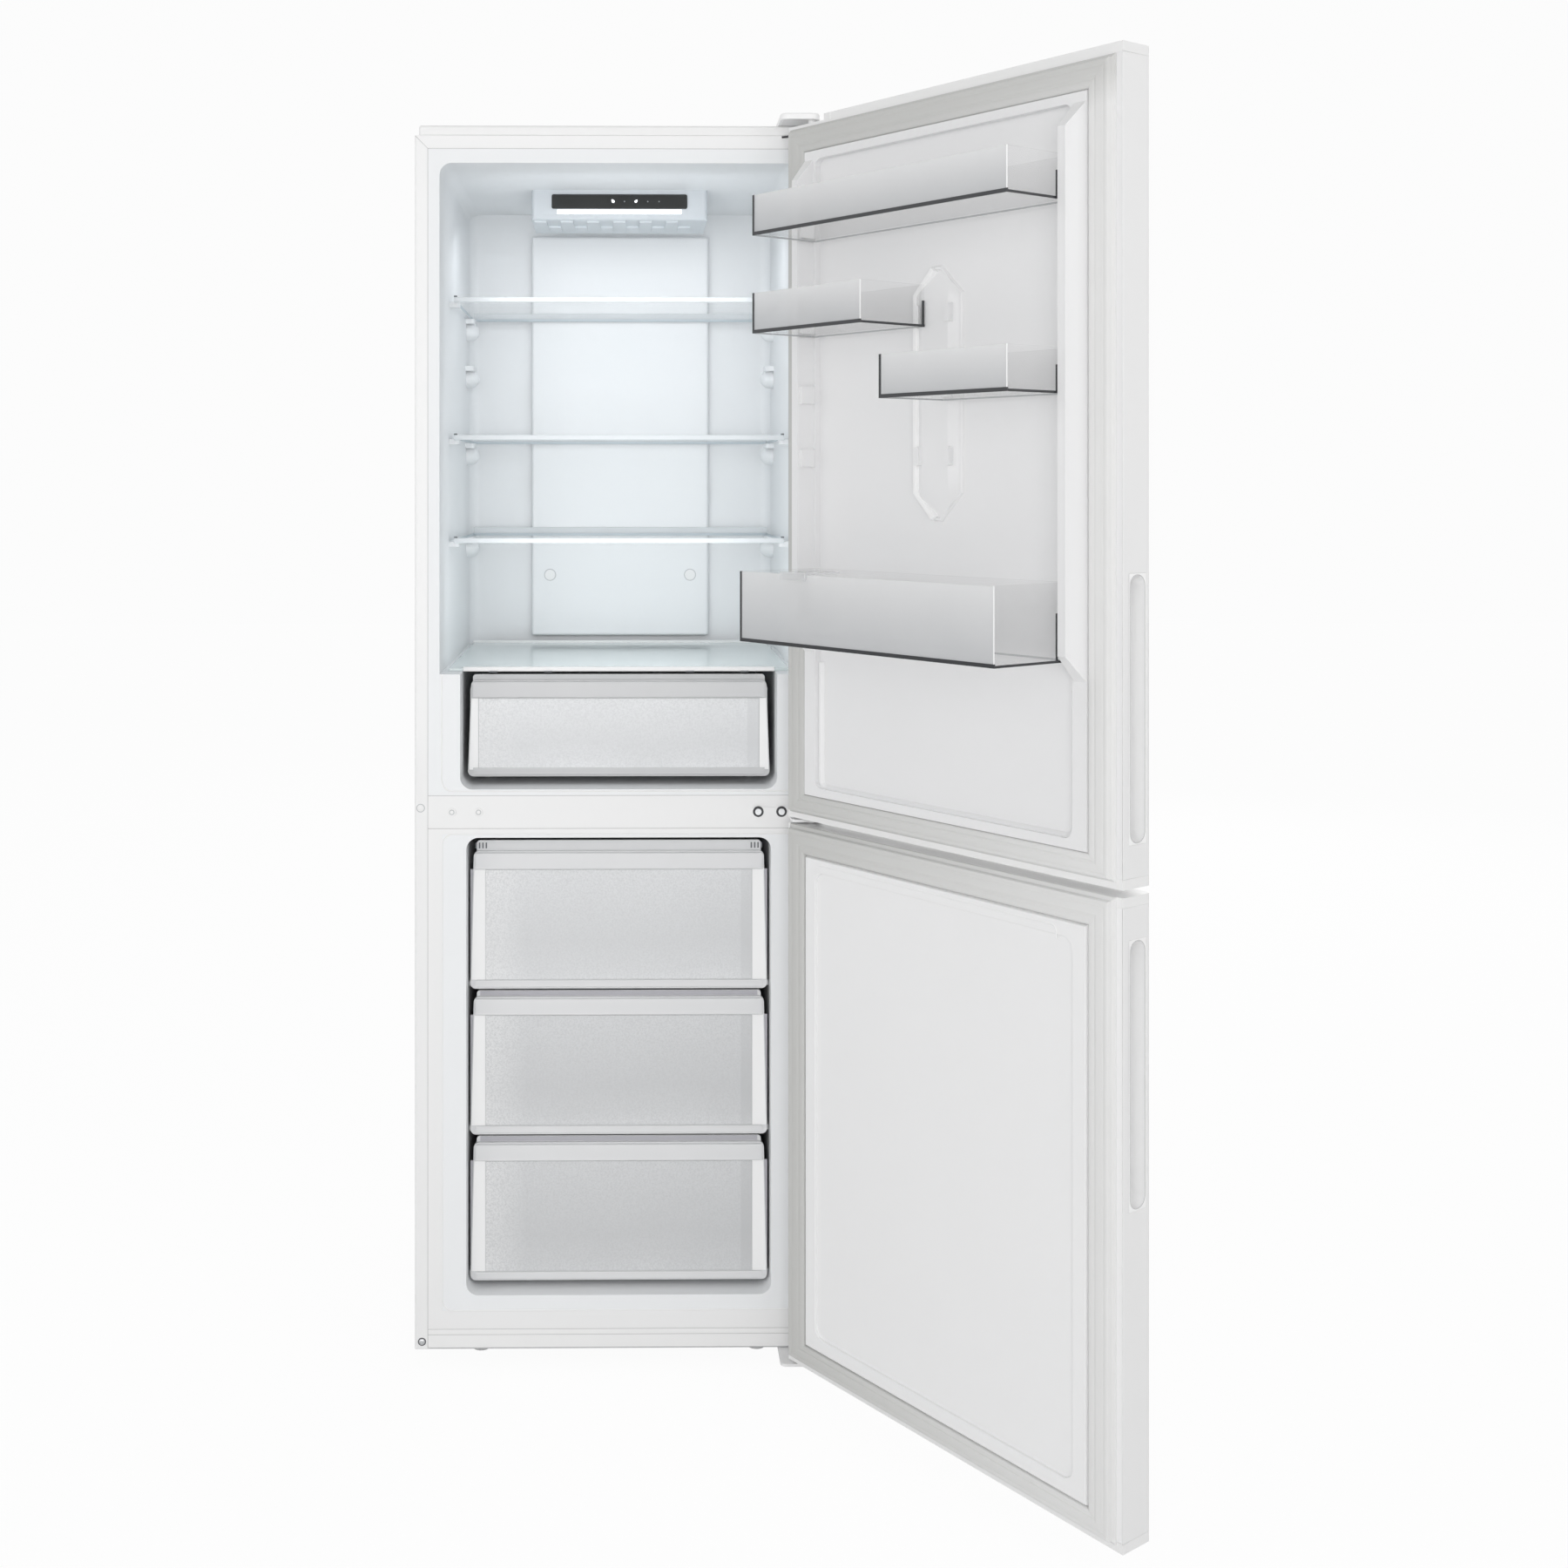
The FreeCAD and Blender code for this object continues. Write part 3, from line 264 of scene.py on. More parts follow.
# finishes of the cabinet's pieces
bakedPaint = {"colour": (0.86, 0.86, 0.86), "shift": 0.006, "roughness": 0.32, "polish": 0.03,
              "cloudScale": 5.0, "grainScale": 900.0, "grain": 0.12, "coat": 0.15}
whitePlastic = {"colour": (0.87, 0.87, 0.868), "shift": 0.006, "roughness": 0.36, "polish": 0.04,
                "cloudScale": 9.0, "grainScale": 1400.0, "grain": 0.10}
formedLiner = {"colour": (0.855, 0.868, 0.88), "shift": 0.010, "roughness": 0.42, "polish": 0.04,
               "cloudScale": 6.0, "grainScale": 900.0, "grain": 0.04, "grainDepth": 0.0001}
doorLiner = {"colour": (0.84, 0.84, 0.845), "shift": 0.010, "roughness": 0.34, "polish": 0.05,
             "cloudScale": 6.0, "grainScale": 600.0, "grain": 0.08}
rigidFoam = {"colour": (0.86, 0.78, 0.52), "shift": 0.10, "roughness": 0.9, "polish": 0.04,
             "cloudScale": 60.0, "grainScale": 700.0, "grain": 0.6, "grainDepth": 0.001}
zincPlate = {"colour": (0.62, 0.63, 0.64), "shift": 0.06, "roughness": 0.36, "polish": 0.08,
             "cloudScale": 35.0, "grainScale": 1100.0, "grain": 0.12, "metal": 0.9}
millAluminium = {"colour": (0.78, 0.79, 0.80), "shift": 0.04, "roughness": 0.3, "polish": 0.06,
                 "cloudScale": 30.0, "grainScale": 900.0, "grain": 0.1, "metal": 1.0}
darkPlastic = {"colour": (0.045, 0.046, 0.05), "shift": 0.08, "roughness": 0.55, "polish": 0.06,
               "cloudScale": 20.0, "grainScale": 800.0, "grain": 0.25, "grainDepth": 0.0003}
blackEnamel = {"colour": (0.02, 0.02, 0.02), "shift": 0.1, "roughness": 0.25, "polish": 0.06,
               "cloudScale": 20.0, "grainScale": 500.0, "grain": 0.15, "grainDepth": 0.0003, "coat": 0.3}
softRubber = {"colour": (0.03, 0.03, 0.03), "shift": 0.1, "roughness": 0.75, "polish": 0.05,
              "cloudScale": 40.0, "grainScale": 900.0, "grain": 0.3, "grainDepth": 0.0003}
fasciaBlack = {"colour": (0.030, 0.031, 0.0305), "shift": 0.04, "roughness": 0.18, "polish": 0.03,
               "cloudScale": 25.0, "grainScale": 900.0, "grain": 0.05, "grainDepth": 0.0001, "coat": 0.1,
               "ior": 1.3}
floatGlass = {"colour": (0.86, 0.95, 0.95), "shift": 0.01, "roughness": 0.05, "polish": 0.02,
              "cloudScale": 8.0, "grainScale": 300.0, "grain": 0.0, "alpha": 0.09, "ior": 1.5}
coverGlass = {"colour": (0.88, 0.96, 0.96), "shift": 0.01, "roughness": 0.10, "polish": 0.01,
              "cloudScale": 8.0, "grainScale": 300.0, "grain": 0.0, "alpha": 0.88, "ior": 1.52}
paleFoot = {"colour": (0.72, 0.72, 0.72), "shift": 0.02, "roughness": 0.5, "polish": 0.05, "cloudScale": 30.0,
            "grainScale": 800.0, "grain": 0.2}
clipClear = {"colour": (0.85, 0.86, 0.87), "shift": 0.02, "roughness": 0.12, "polish": 0.03,
             "cloudScale": 30.0, "grainScale": 700.0, "grain": 0.05, "alpha": 0.35}
# drawer plastic: clear and pale in the tub
drawerClear = {"colour": (0.90, 0.905, 0.915), "shift": 0.02, "roughness": 0.2, "polish": 0.04,
               "cloudScale": 6.0, "grainScale": 500.0, "grain": 0.08, "grainDepth": 0.0003, "alpha": 0.80}

finishes = {
    "white_steel": moulded("bakedPaint", bakedPaint),
    "white_plastic": moulded("whitePlastic", whitePlastic),
    "liner_plastic": moulded("formedLiner", formedLiner),
    "foam": moulded("rigidFoam", rigidFoam),
    "zinc_steel": moulded("zincPlate", zincPlate),
    "dark_gloss": moulded("fasciaBlack", fasciaBlack),
    "aluminium_fin": moulded("millAluminium", millAluminium),
    "motor_plastic": moulded("darkPlastic", darkPlastic),
    "black_enamel": moulded("blackEnamel", blackEnamel),
    "grommet_rubber": moulded("softRubber", softRubber),
    "foot_plastic": moulded("footPlastic", paleFoot),
    "clear_glass": moulded("floatGlass", floatGlass),
    "clear_drawer": moulded("drawerClear", drawerClear),
}
doorLinerFinish = moulded("doorLiner", doorLiner)
# the lower door liner: a paler copy of the door liner, painted light
lowerLinerFinish = moulded("lowerLiner", dict(doorLiner, colour=(0.885, 0.885, 0.887)))
clipFinish = moulded("clipClear", clipClear)


def lit(name, look):
    # an even glow with a fine ripple in it
    made = Finish(name)
    ripple = made.noise(look["scale"], detail=1.0)
    made.set(Base_Color=look["colour"], Emission_Strength=look["glow"])
    made.set(Roughness=look["roughness"] + ripple * look["spread"])
    made.set(Emission_Color=made.mix(ripple, look["dim"], white))
    return made.material


# lit diffuser under the fascia
lampLens = {"colour": (0.95, 0.97, 1.0, 1), "glow": 1.6, "dim": (0.9, 0.95, 1, 1), "scale": 160.0,
            "roughness": 0.35, "spread": 0.1}
finishes["lamp_lens"] = lit("lampLens", lampLens)

# drawer face: frosted with a fine sparkle; painted shade darkens its lower middle and painted light makes its
# left end paler; a darker upright band at its right
faceFrost = {"alpha": 0.95, "tint": (0.972, 0.985, 1.0), "ior": 1.49, "roughness": 0.36, "roughSpread": 0.2,
             "sparkle": 380.0, "sparkleFrom": 0.38, "sparkleGain": 2.2, "sparkleShade": 0.68,
             "relief": (0.3, 0.0004), "drift": 5.0, "driftShare": 0.35, "endRate": 6.5, "endLift": 0.5,
             "band": 0.958, "bandShade": 0.92,
             "rise": ((0.0, 0.84), (0.12, 0.78), (0.35, 0.74), (0.6, 0.77), (1.0, 0.83))}


def frostedFace(name, level):
    look = faceFrost
    made = Finish(name)
    speckle = made.noise(look["sparkle"], detail=2.0, roughness=0.7)
    drift = (made.noise(look["drift"], detail=2.0) - 0.5) * look["driftShare"]
    across, _, height = made.parts(made.place("Generated"))
    # painted shade: the tone dips through the lower middle of the face's height, and level scales it per
    # drawer
    stops = [(spot, shade(look["tint"], grey * level)) for spot, grey in look["rise"]]
    shadedByHeight = made.add("ShaderNodeValToRGB", {"stops": stops}, {"Fac": (height + drift).clip()}, "Color")
    # painted light: paler toward the face's left end
    litLeftEnd = made.mix((1.0 - across * look["endRate"]).clip() * look["endLift"], shadedByHeight, white)
    banded = made.mix((across > look["band"]) * (1.0 - look["bandShade"]), litLeftEnd, black)
    fleck = ((speckle - look["sparkleFrom"]) * look["sparkleGain"]).clip()
    made.set(Base_Color=made.mix(fleck, banded, shade(look["tint"], look["sparkleShade"] * level)))
    made.set(Roughness=look["roughness"] + speckle * look["roughSpread"])
    made.set(Alpha=look["alpha"], IOR=look["ior"])
    made.set(Normal=made.bump(speckle, *look["relief"]))
    return made.material


# soft seal: painted shade, darker by the hinge and along the head and paler toward the free end, with random
# grime spots over it
sealSoft = {"hinge": (0.585, 0.585, 0.57), "free": (0.80, 0.80, 0.795), "length": 0.575, "roughness": 0.55,
            "roughSpread": 0.1, "head": 1.735, "headRise": 0.04, "headHold": 0.75, "wear": 14.0,
            "wearShare": 0.12, "wearShade": 0.9, "grain": 1200.0, "relief": (0.2, 0.0002)}
axisSpot = Vector((cabinet["midX"] + cabinet["hingeX"], cabinet["midY"] + cabinet["hingeY"], 0))
freeWay = Vector((-math.cos(opened), -math.sin(opened), 0))
soft = Finish("sealSoft")
# painted shade: run goes from the hinge tone to the free-end tone along the door, held back near the head
run = ((soft.along(soft.place(), freeWay) - axisSpot.dot(freeWay)) * (1 / sealSoft["length"])).clip()
atHead = ((soft.parts(soft.place())[2] - sealSoft["head"]) * (1 / sealSoft["headRise"])).clip()
run = run * (1.0 - atHead * sealSoft["headHold"])
wear = soft.noise(sealSoft["wear"])
shadeAlongDoor = soft.mix(run, shade(sealSoft["hinge"], 1), shade(sealSoft["free"], 1))
grime = shade(sealSoft["hinge"], sealSoft["wearShade"])
soft.set(Base_Color=soft.mix(wear * sealSoft["wearShare"], shadeAlongDoor, grime))
soft.set(Roughness=sealSoft["roughness"] + wear * sealSoft["roughSpread"])
soft.set(Normal=soft.bump(soft.noise(sealSoft["grain"]), *sealSoft["relief"]))
finishes["seal_grey"] = soft.material

# smoke bin plastic: frosted over the broad front, clear at the ends and the floor
smokeBin = {"high": (0.80, 0.805, 0.81, 1), "low": (0.54, 0.55, 0.565, 1), "frontAlpha": 0.66,
            "endAlpha": 0.03, "wallFrom": 0.10, "facing": 0.8, "floor": (0.88, 0.885, 0.89, 1),
            "floorAlpha": 0.14, "shadowPass": 0.92, "mist": 7.0, "mistShare": 0.2, "riseShare": 0.9,
            "grain": 700.0, "relief": (0.12, 0.0003), "ior": 1.49, "roughness": 0.12, "frontRough": 0.28,
            "roughSpread": 0.05}
smoke = Finish("smokeBin")
outward = Vector((-math.sin(opened), math.cos(opened), 0))
reachOut = smoke.along(smoke.place(), outward) - axisSpot.dot(outward)
facing = abs(smoke.along(smoke.place("Normal"), outward)) > smokeBin["facing"]
facing = facing * (reachOut > smokeBin["wallFrom"])
level = abs(smoke.parts(smoke.place("Normal"))[2]) > smokeBin["facing"]
up = smoke.parts(smoke.place("Generated"))[2] * smokeBin["riseShare"]
mist = smoke.noise(smokeBin["mist"], detail=2.0) * smokeBin["mistShare"]
binGrain = smoke.noise(smokeBin["grain"], detail=2.0)
tinted = smoke.mix((up + mist).clip(), smokeBin["low"], smokeBin["high"])
smoke.set(Base_Color=smoke.mix(level, tinted, smokeBin["floor"]))
# the frost scatters light instead of stopping it, so its shadow is thin
frontCover = facing * (smokeBin["frontAlpha"] - smokeBin["endAlpha"])
cover = smokeBin["endAlpha"] + frontCover + level * smokeBin["floorAlpha"]
smoke.set(Alpha=cover * (1.0 - smoke.ray("Is Shadow Ray") * smokeBin["shadowPass"]), IOR=smokeBin["ior"])
frontRough = smokeBin["roughness"] + facing * smokeBin["frontRough"]
smoke.set(Roughness=frontRough + binGrain * smokeBin["roughSpread"])
smoke.set(Normal=smoke.bump(binGrain, *smokeBin["relief"]))
finishes["smoke_clear"] = smoke.material
print("finishes made:", len(finishes))

# every drawn solid gets its slot's finish and small worked edges, in metres
edgeRule = {"weld": 0.00002, "flat": math.radians(0.5), "sharp": math.radians(35), "split": math.radians(40),
            "segments": 3, "pieceSegments": 2}
edgeWork = {"default": 0.0008, "upper_door_skin": 0.002, "lower_door_skin": 0.002, "upper_door_caps": 0.002,
            "lower_door_caps": 0.002, "fridge_liner": 0.0025, "freezer_liner": 0.0025,
            "upper_door_liner": 0.003, "lower_door_liner": 0.003, "top_cap": 0.002, "hinge_cover": 0.0,
            "upper_door_gasket": 0.002, "lower_door_gasket": 0.002, "insulation": 0.0, "upper_door_foam": 0.0,
            "lower_door_foam": 0.0, "hinge_screws": 0.0003, "evaporator": 0.0, "top_hinge": 0.0}
keepFacets = ("upper_door_liner", "outer_wrap", "upper_door_skin", "lower_door_skin", "compressor")
# a paler copy of the white plastic: painted light on the grip recesses and the hinge cover
gripFinish = moulded("paleGrip", dict(whitePlastic, colour=(0.95, 0.95, 0.95)))
trimFinish = moulded("clearTrim", dict(whitePlastic, colour=(0.84, 0.87, 0.89), alpha=0.62))
slotOf = {part["node"]: part["material_slot"] for part in frame["record"]["subparts"]}
ownFinish = {
    "upper_door_liner": doorLinerFinish, "lower_door_liner": lowerLinerFinish, "bottle_clip": clipFinish,
    "crisper_cover_glass": moulded("coverGlass", coverGlass),
    # the control housing: a darker, bluer copy of the liner plastic, painted shade
    "control_housing": moulded("housing", dict(formedLiner, colour=(0.64, 0.675, 0.705))),
    "crisper_drawer": moulded("crisperClear", dict(drawerClear, colour=(0.74, 0.745, 0.755))),
    "shelf_trim_1": trimFinish, "shelf_trim_2": trimFinish, "shelf_trim_3": trimFinish,
    "upper_door_grip": gripFinish, "lower_door_grip": gripFinish, "hinge_cover": gripFinish,
    "bottom_hinge": finishes["white_steel"], "top_hinge": finishes["white_steel"],
}


def workEdges(piece, width, segments):
    edge = piece.modifiers.new("edge", "BEVEL")
    edge.width = width
    edge.segments = segments
    edge.limit_method = "ANGLE"
    edge.angle_limit = edgeRule["sharp"]


for name, piece in nodes.items():
    piece.data.materials.clear()
    piece.data.materials.append(ownFinish.get(name, finishes[slotOf[name]]))
    width = edgeWork.get(name, edgeWork["default"])
    if not width:
        continue
    weld = piece.modifiers.new("weld", "WELD")
    weld.merge_threshold = edgeRule["weld"]
    if name not in keepFacets:
        flat = piece.modifiers.new("flat", "DECIMATE")
        flat.decimate_type = "DISSOLVE"
        flat.angle_limit = edgeRule["flat"]
    workEdges(piece, width, edgeRule["segments"])
    piece.modifiers.new("even", "WEIGHTED_NORMAL")
print("edges worked")


def addPiece(name, shape, place, finish, body, edge=0.0, smooth=True):
    mesh = bpy.data.meshes.new(name)
    bmesh.ops.recalc_face_normals(shape, faces=shape.faces)
    shape.to_mesh(mesh)
    shape.free()
    mesh.transform(place)
    mesh.materials.append(finish)
    piece = bpy.data.objects.new(name, mesh)
    bpy.context.scene.collection.objects.link(piece)
    for face in mesh.polygons:
        face.use_smooth = smooth
    if edge:
        workEdges(piece, edge * millimetre, edgeRule["pieceSegments"])
    elif smooth:
        mesh.set_sharp_from_angle(angle=edgeRule["split"])
    even = piece.modifiers.new("even", "WEIGHTED_NORMAL")
    even.keep_sharp = True
    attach(piece, body)
    return piece


def addBlock(shape, low, high):
    spans = list(zip(low, high))
    corners = [shape.verts.new((x, y, z)) for z in spans[2] for y in spans[1] for x in spans[0]]
    for loop in ((0, 1, 3, 2), (4, 5, 7, 6), (0, 1, 5, 4), (2, 3, 7, 6), (0, 2, 6, 4), (1, 3, 7, 5)):
        shape.faces.new([corners[i] for i in loop])


def addTurned(shape, centre, axis, profile, steps=28):
    # a turned form: profile pairs of radius and height along the axis
    side = Vector((0, 0, 1)) if abs(axis[2]) < 0.5 else Vector((1, 0, 0))
    across = Vector(axis).cross(side).normalized()
    other = Vector(axis).cross(across)
    turn = [2 * math.pi * i / steps for i in range(steps)]
    rings = []
    for radius, height in profile:
        middle = Vector(centre) + Vector(axis) * height
        if radius == 0:
            rings.append([shape.verts.new(middle)])
            continue
        spots = [across * (radius * math.cos(a)) + other * (radius * math.sin(a)) for a in turn]
        rings.append([shape.verts.new(middle + spot) for spot in spots])
    for low, high in zip(rings, rings[1:]):
        for i in range(steps):
            j = (i + 1) % steps
            loop = [low[i % len(low)], low[j % len(low)], high[j % len(high)], high[i % len(high)]]
            shape.faces.new(list(dict.fromkeys(loop)))


def addTrack(shape, path, width, near, far, closed=False, crown=0.55, tightest=0.4):
    # a low ridge that follows points on an upright plane
    spots = [Vector(spot) for spot in path]
    rows = []
    for i, spot in enumerate(spots):
        before = spots[i - 1] if closed or i else None
        after = spots[(i + 1) % len(spots)] if closed or i + 1 < len(spots) else None
        comes = (spot - before).normalized() if before else (after - spot).normalized()
        goes = (after - spot).normalized() if after else comes
        ahead = (comes + goes).normalized()
        out = Vector((-ahead.y, ahead.x))
        reach = width / 2 / max(tightest, out.dot(Vector((-comes.y, comes.x))))
        section = ((-reach, near), (-reach * crown, far), (reach * crown, far), (reach, near))
        row = [(spot.x + out.x * side, depth, spot.y + out.y * side) for side, depth in section]
        rows.append([shape.verts.new(corner) for corner in row])
    pairs = list(zip(rows, rows[1:])) + ([(rows[-1], rows[0])] if closed else [])
    for first, second in pairs:
        for i in range(4):
            shape.faces.new((first[i], first[(i + 1) % 4], second[(i + 1) % 4], second[i]))
    if not closed:
        shape.faces.new(rows[0])
        shape.faces.new(rows[-1])


def addPlate(shape, outline, back, front, draft):
    # a thin plate on an upright plane, its front edge drawn in
    middle = sum((Vector(spot) for spot in outline), Vector((0, 0))) / len(outline)
    rear = [shape.verts.new((x, back, z)) for x, z in outline]
    near = []
    for x, z in outline:
        inX = math.copysign(draft, middle.x - x)
        inZ = math.copysign(draft, middle.y - z)
        near.append(shape.verts.new((x + inX, front, z + inZ)))
    shape.faces.new(near)
    shape.faces.new(rear)
    for i in range(len(outline)):
        j = (i + 1) % len(outline)
        shape.faces.new((rear[i], rear[j], near[j], near[i]))


def roundedPath(left, right, low, high, radius, steps=7):
    path = []
    for x, z, start in ((right - radius, high - radius, 0), (left + radius, high - radius, 90),
                        (left + radius, low + radius, 180), (right - radius, low + radius, 270)):
        for i in range(steps):
            angle = math.radians(start + 90 * i / (steps - 1))
            path.append((x + radius * math.cos(angle), z + radius * math.sin(angle)))
    return path


def openPath(half, low, high, radius, slack=0.01):
    # down one side, round the two lower corners and up the other side
    ring = roundedPath(-half, half, low, high + radius, radius)
    return [(-half, high)] + [spot for spot in ring if spot[1] < low + radius + slack] + [(half, high)]


sink = 0.1  # how far a laid-on piece goes into what carries it

# door seals: one extruded profile run round the door, cut to a mitre and welded at each corner
seal = {"inner": 253.4, "hinge": 292.5, "free": 288.5, "band": 30.1, "crest": 8.0, "door": -307.0,
        "mitre": 0.3, "weld": 1.0, "upper": (816.0, 1787.0), "lower": (35.0, 791.0)}
sealProfile = [(0.0, 0.0), (0.0, 8.2), (0.03, 9.6), (0.08, 10.6), (0.22, 10.9), (0.26, 10.0), (0.30, 9.8),
               (0.34, 10.8), (0.40, 11.1), (0.60, 11.1), (0.64, 10.2), (0.68, 10.0), (0.72, 10.8),
               (0.78, 11.0), (0.84, 10.3), (0.87, 8.4), (0.88, 4.4), (0.94, 2.8), (0.98, 2.2), (1.0, 0.0)]


def addSeal(name, node, body, low, high):
    shape = bmesh.new()
    innerLow, innerHigh, crest = low + seal["band"], high - seal["band"], high + seal["crest"]
    half, hingeX, freeX = seal["inner"], seal["hinge"], -seal["free"]
    inner = [(-half, innerLow), (half, innerLow), (half, innerHigh), (-half, innerHigh)]
    outer = [(freeX, low), (hingeX, low), (hingeX, crest), (freeX, crest)]
    loops = []
    for share, lift in sealProfile:
        corners = [Vector(a).lerp(Vector(b), share) for a, b in zip(inner, outer)]
        loop = []
        for i, corner in enumerate(corners):
            before = (corners[i - 1] - corner).normalized() * seal["weld"]
            after = (corners[(i + 1) % 4] - corner).normalized() * seal["weld"]
            for spot, dip in ((corner + before, 0.0), (corner, seal["mitre"]), (corner + after, 0.0)):
                loop.append(shape.verts.new((spot.x, seal["door"] + max(lift - dip, 0.0), spot.y)))
        loops.append(loop)
    count = len(loops[0])
    for first, second in zip(loops, loops[1:]):
        for i in range(count):
            j = (i + 1) % count
            shape.faces.new((first[i], first[j], second[j], second[i]))
    for i in range(count):
        j = (i + 1) % count
        shape.faces.new((loops[-1][i], loops[-1][j], loops[0][j], loops[0][i]))
    piece = addPiece(name, shape, doorPlace, finishes["seal_grey"], body)
    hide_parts(node)


addSeal("upperSeal", "upper_door_gasket", "upper_door", *seal["upper"])
addSeal("lowerSeal", "lower_door_gasket", "lower_door", *seal["lower"])
print("door seals run")

# balconies: dark bead where the smoke plastic is seen edge on
bins = {"back": 9.0, "door": -307.0, "bead": 4.4, "proud": 0.5, "wall": 1.2, "sideShare": 0.6, "barDeep": 3.4,
        "barShare": 0.62, "postWide": 3.2, "postDeep": 1.6, "line": 1.6, "lineSide": 1.4, "lineSet": 2.0,
        "edge": 0.25}
balconies = {
    "balcony_top": {"body": "bin_top", "ends": (-230.0, 230.0), "low": 1627.0, "high": 55.0, "front": 124.0,
                    "bar": 26.0},
    "balcony_left": {"body": "bin_left", "ends": (17.0, 230.0), "low": 1492.9, "high": 55.0, "front": 124.0,
                     "bar": 0.7},
    "balcony_right": {"body": "bin_right", "ends": (-230.0, -17.0), "low": 1394.9, "high": 55.0,
                      "front": 124.0, "bar": 26.0},
    "balcony_bottle": {"body": "bin_bottle", "ends": (-230.0, 230.0), "low": 1073.0, "high": 95.0,
                       "front": 146.0, "bar": 26.0},
}
beadSmoke = {"colour": (0.028, 0.03, 0.034), "shift": 0.1, "roughness": 0.2, "polish": 0.05,
             "cloudScale": 40.0, "grainScale": 600.0, "grain": 0.05, "coat": 0.3}
beadFinish = moulded("beadSmoke", beadSmoke)
floorLineFinish = moulded("floorLine", dict(beadSmoke, colour=(0.42, 0.43, 0.44)))
for node, look in balconies.items():
    left, right = look["ends"]
    low, body = look["low"], look["body"]
    nearY, farY = bins["door"] + bins["back"], bins["door"] + look["front"]
    barY = nearY + look["bar"]
    proud, wall, line = bins["proud"], bins["wall"], bins["line"]
    foot, beadTop, sideTop = low - proud, low + bins["bead"], low + bins["bead"] * bins["sideShare"]
    shape = bmesh.new()
    addBlock(shape, (left - proud, farY - wall, foot), (right + proud, farY + proud, beadTop))
    addBlock(shape, (left - proud, nearY, foot), (left + wall, farY - wall, sideTop))
    barTop = low + look["high"] * bins["barShare"]
    addBlock(shape, (left - proud, barY, sideTop), (left + wall, barY + bins["barDeep"], barTop))
    post = (right - bins["postWide"], farY - bins["postDeep"], beadTop)
    addBlock(shape, post, (right + proud, farY + proud, low + look["high"]))
    addPiece(node + "Bead", shape, doorPlace, beadFinish, body, bins["edge"])
    shape = bmesh.new()
    lineSet, lineX = bins["lineSet"], right - bins["lineSide"]
    addBlock(shape, (left + lineSet, nearY, foot), (right - lineSet, nearY + line, low + line))
    addBlock(shape, (lineX, nearY + line, foot), (right + proud, farY - lineSet, low + line))
    addPiece(node + "Floor", shape, doorPlace, floorLineFinish, body, bins["edge"])
print("balcony beads laid")

# balconies: a painted highlight, pale and glossy, where the thick front corner catches the light
gleam = {"colour": (0.93, 0.935, 0.94), "shift": 0.01, "roughness": 0.12, "polish": 0.03, "cloudScale": 40.0,
         "grainScale": 600.0, "grain": 0.03, "coat": 0.5}
corner = {"set": 0.9, "width": 1.6, "sink": 0.4, "proud": 0.3}
gleamFinish = moulded("cornerGleam", gleam)
for node, look in balconies.items():
    x = look["ends"][0] + corner["set"]
    farY = bins["door"] + look["front"]
    path = [(x, look["low"] + bins["bead"]), (x, look["low"] + look["high"])]
    shape = bmesh.new()
    addTrack(shape, path, corner["width"], farY - corner["sink"], farY + corner["proud"])
    addPiece(node + "Corner", shape, doorPlace, gleamFinish, look["body"])

# drawer faces: a frosted panel between two clear wings, over it the shaded rim of the tub
faces = {"sink": 0.3, "proud": 0.9, "draft": 0.7, "edge": 0.3, "gap": 0.6, "wingProud": 0.5, "wingDraft": 0.2,
         "wingEdge": 0.2, "flange": 219.2, "lap": 1.0, "slopeDeep": 0.8, "slopeDraft": 0.05, "rimHalf": 205.0,
         "rimY": -259.0, "rimSink": 0.2, "rimProud": 0.4, "rimDraft": 0.2}
tray = {"front": -265.0, "side": 196.5, "wingTop": 213.5, "wingFoot": 217.5, "slope": -262.5}
# level scales each face's colour: painted light on the crisper, painted shade on the lower freezer drawers
drawers = {
    "crisper_drawer": {"body": "crisper", "front": -251.0, "low": 863.0, "high": 969.0, "side": 208.0,
                       "wingTop": 218.7, "wingFoot": 222.4, "level": 1.08},
    "freezer_drawer_1": dict(tray, body="freezer_tray_1", low=555.5, high=718.0, level=0.98),
    "freezer_drawer_2": dict(tray, body="freezer_tray_2", low=340.5, high=503.0, level=0.89,
                             rim=(530.4, 537.4)),
    "freezer_drawer_3": dict(tray, body="freezer_tray_3", low=125.5, high=288.0, level=0.88,
                             rim=(315.4, 322.4)),
}
tubShade = {"colour": (0.48, 0.475, 0.51), "shift": 0.03, "roughness": 0.4, "polish": 0.05,
            "cloudScale": 20.0, "grainScale": 500.0, "grain": 0.05}
tubShadeFinish = moulded("tubShade", tubShade)
# the clear wings drawn as opaque plates in a paler copy of the white plastic: painted light
wingFinish = moulded("wingClear", dict(whitePlastic, colour=(0.93, 0.93, 0.93)))


def oblong(half, low, high):
    return [(-half, low), (half, low), (half, high), (-half, high)]


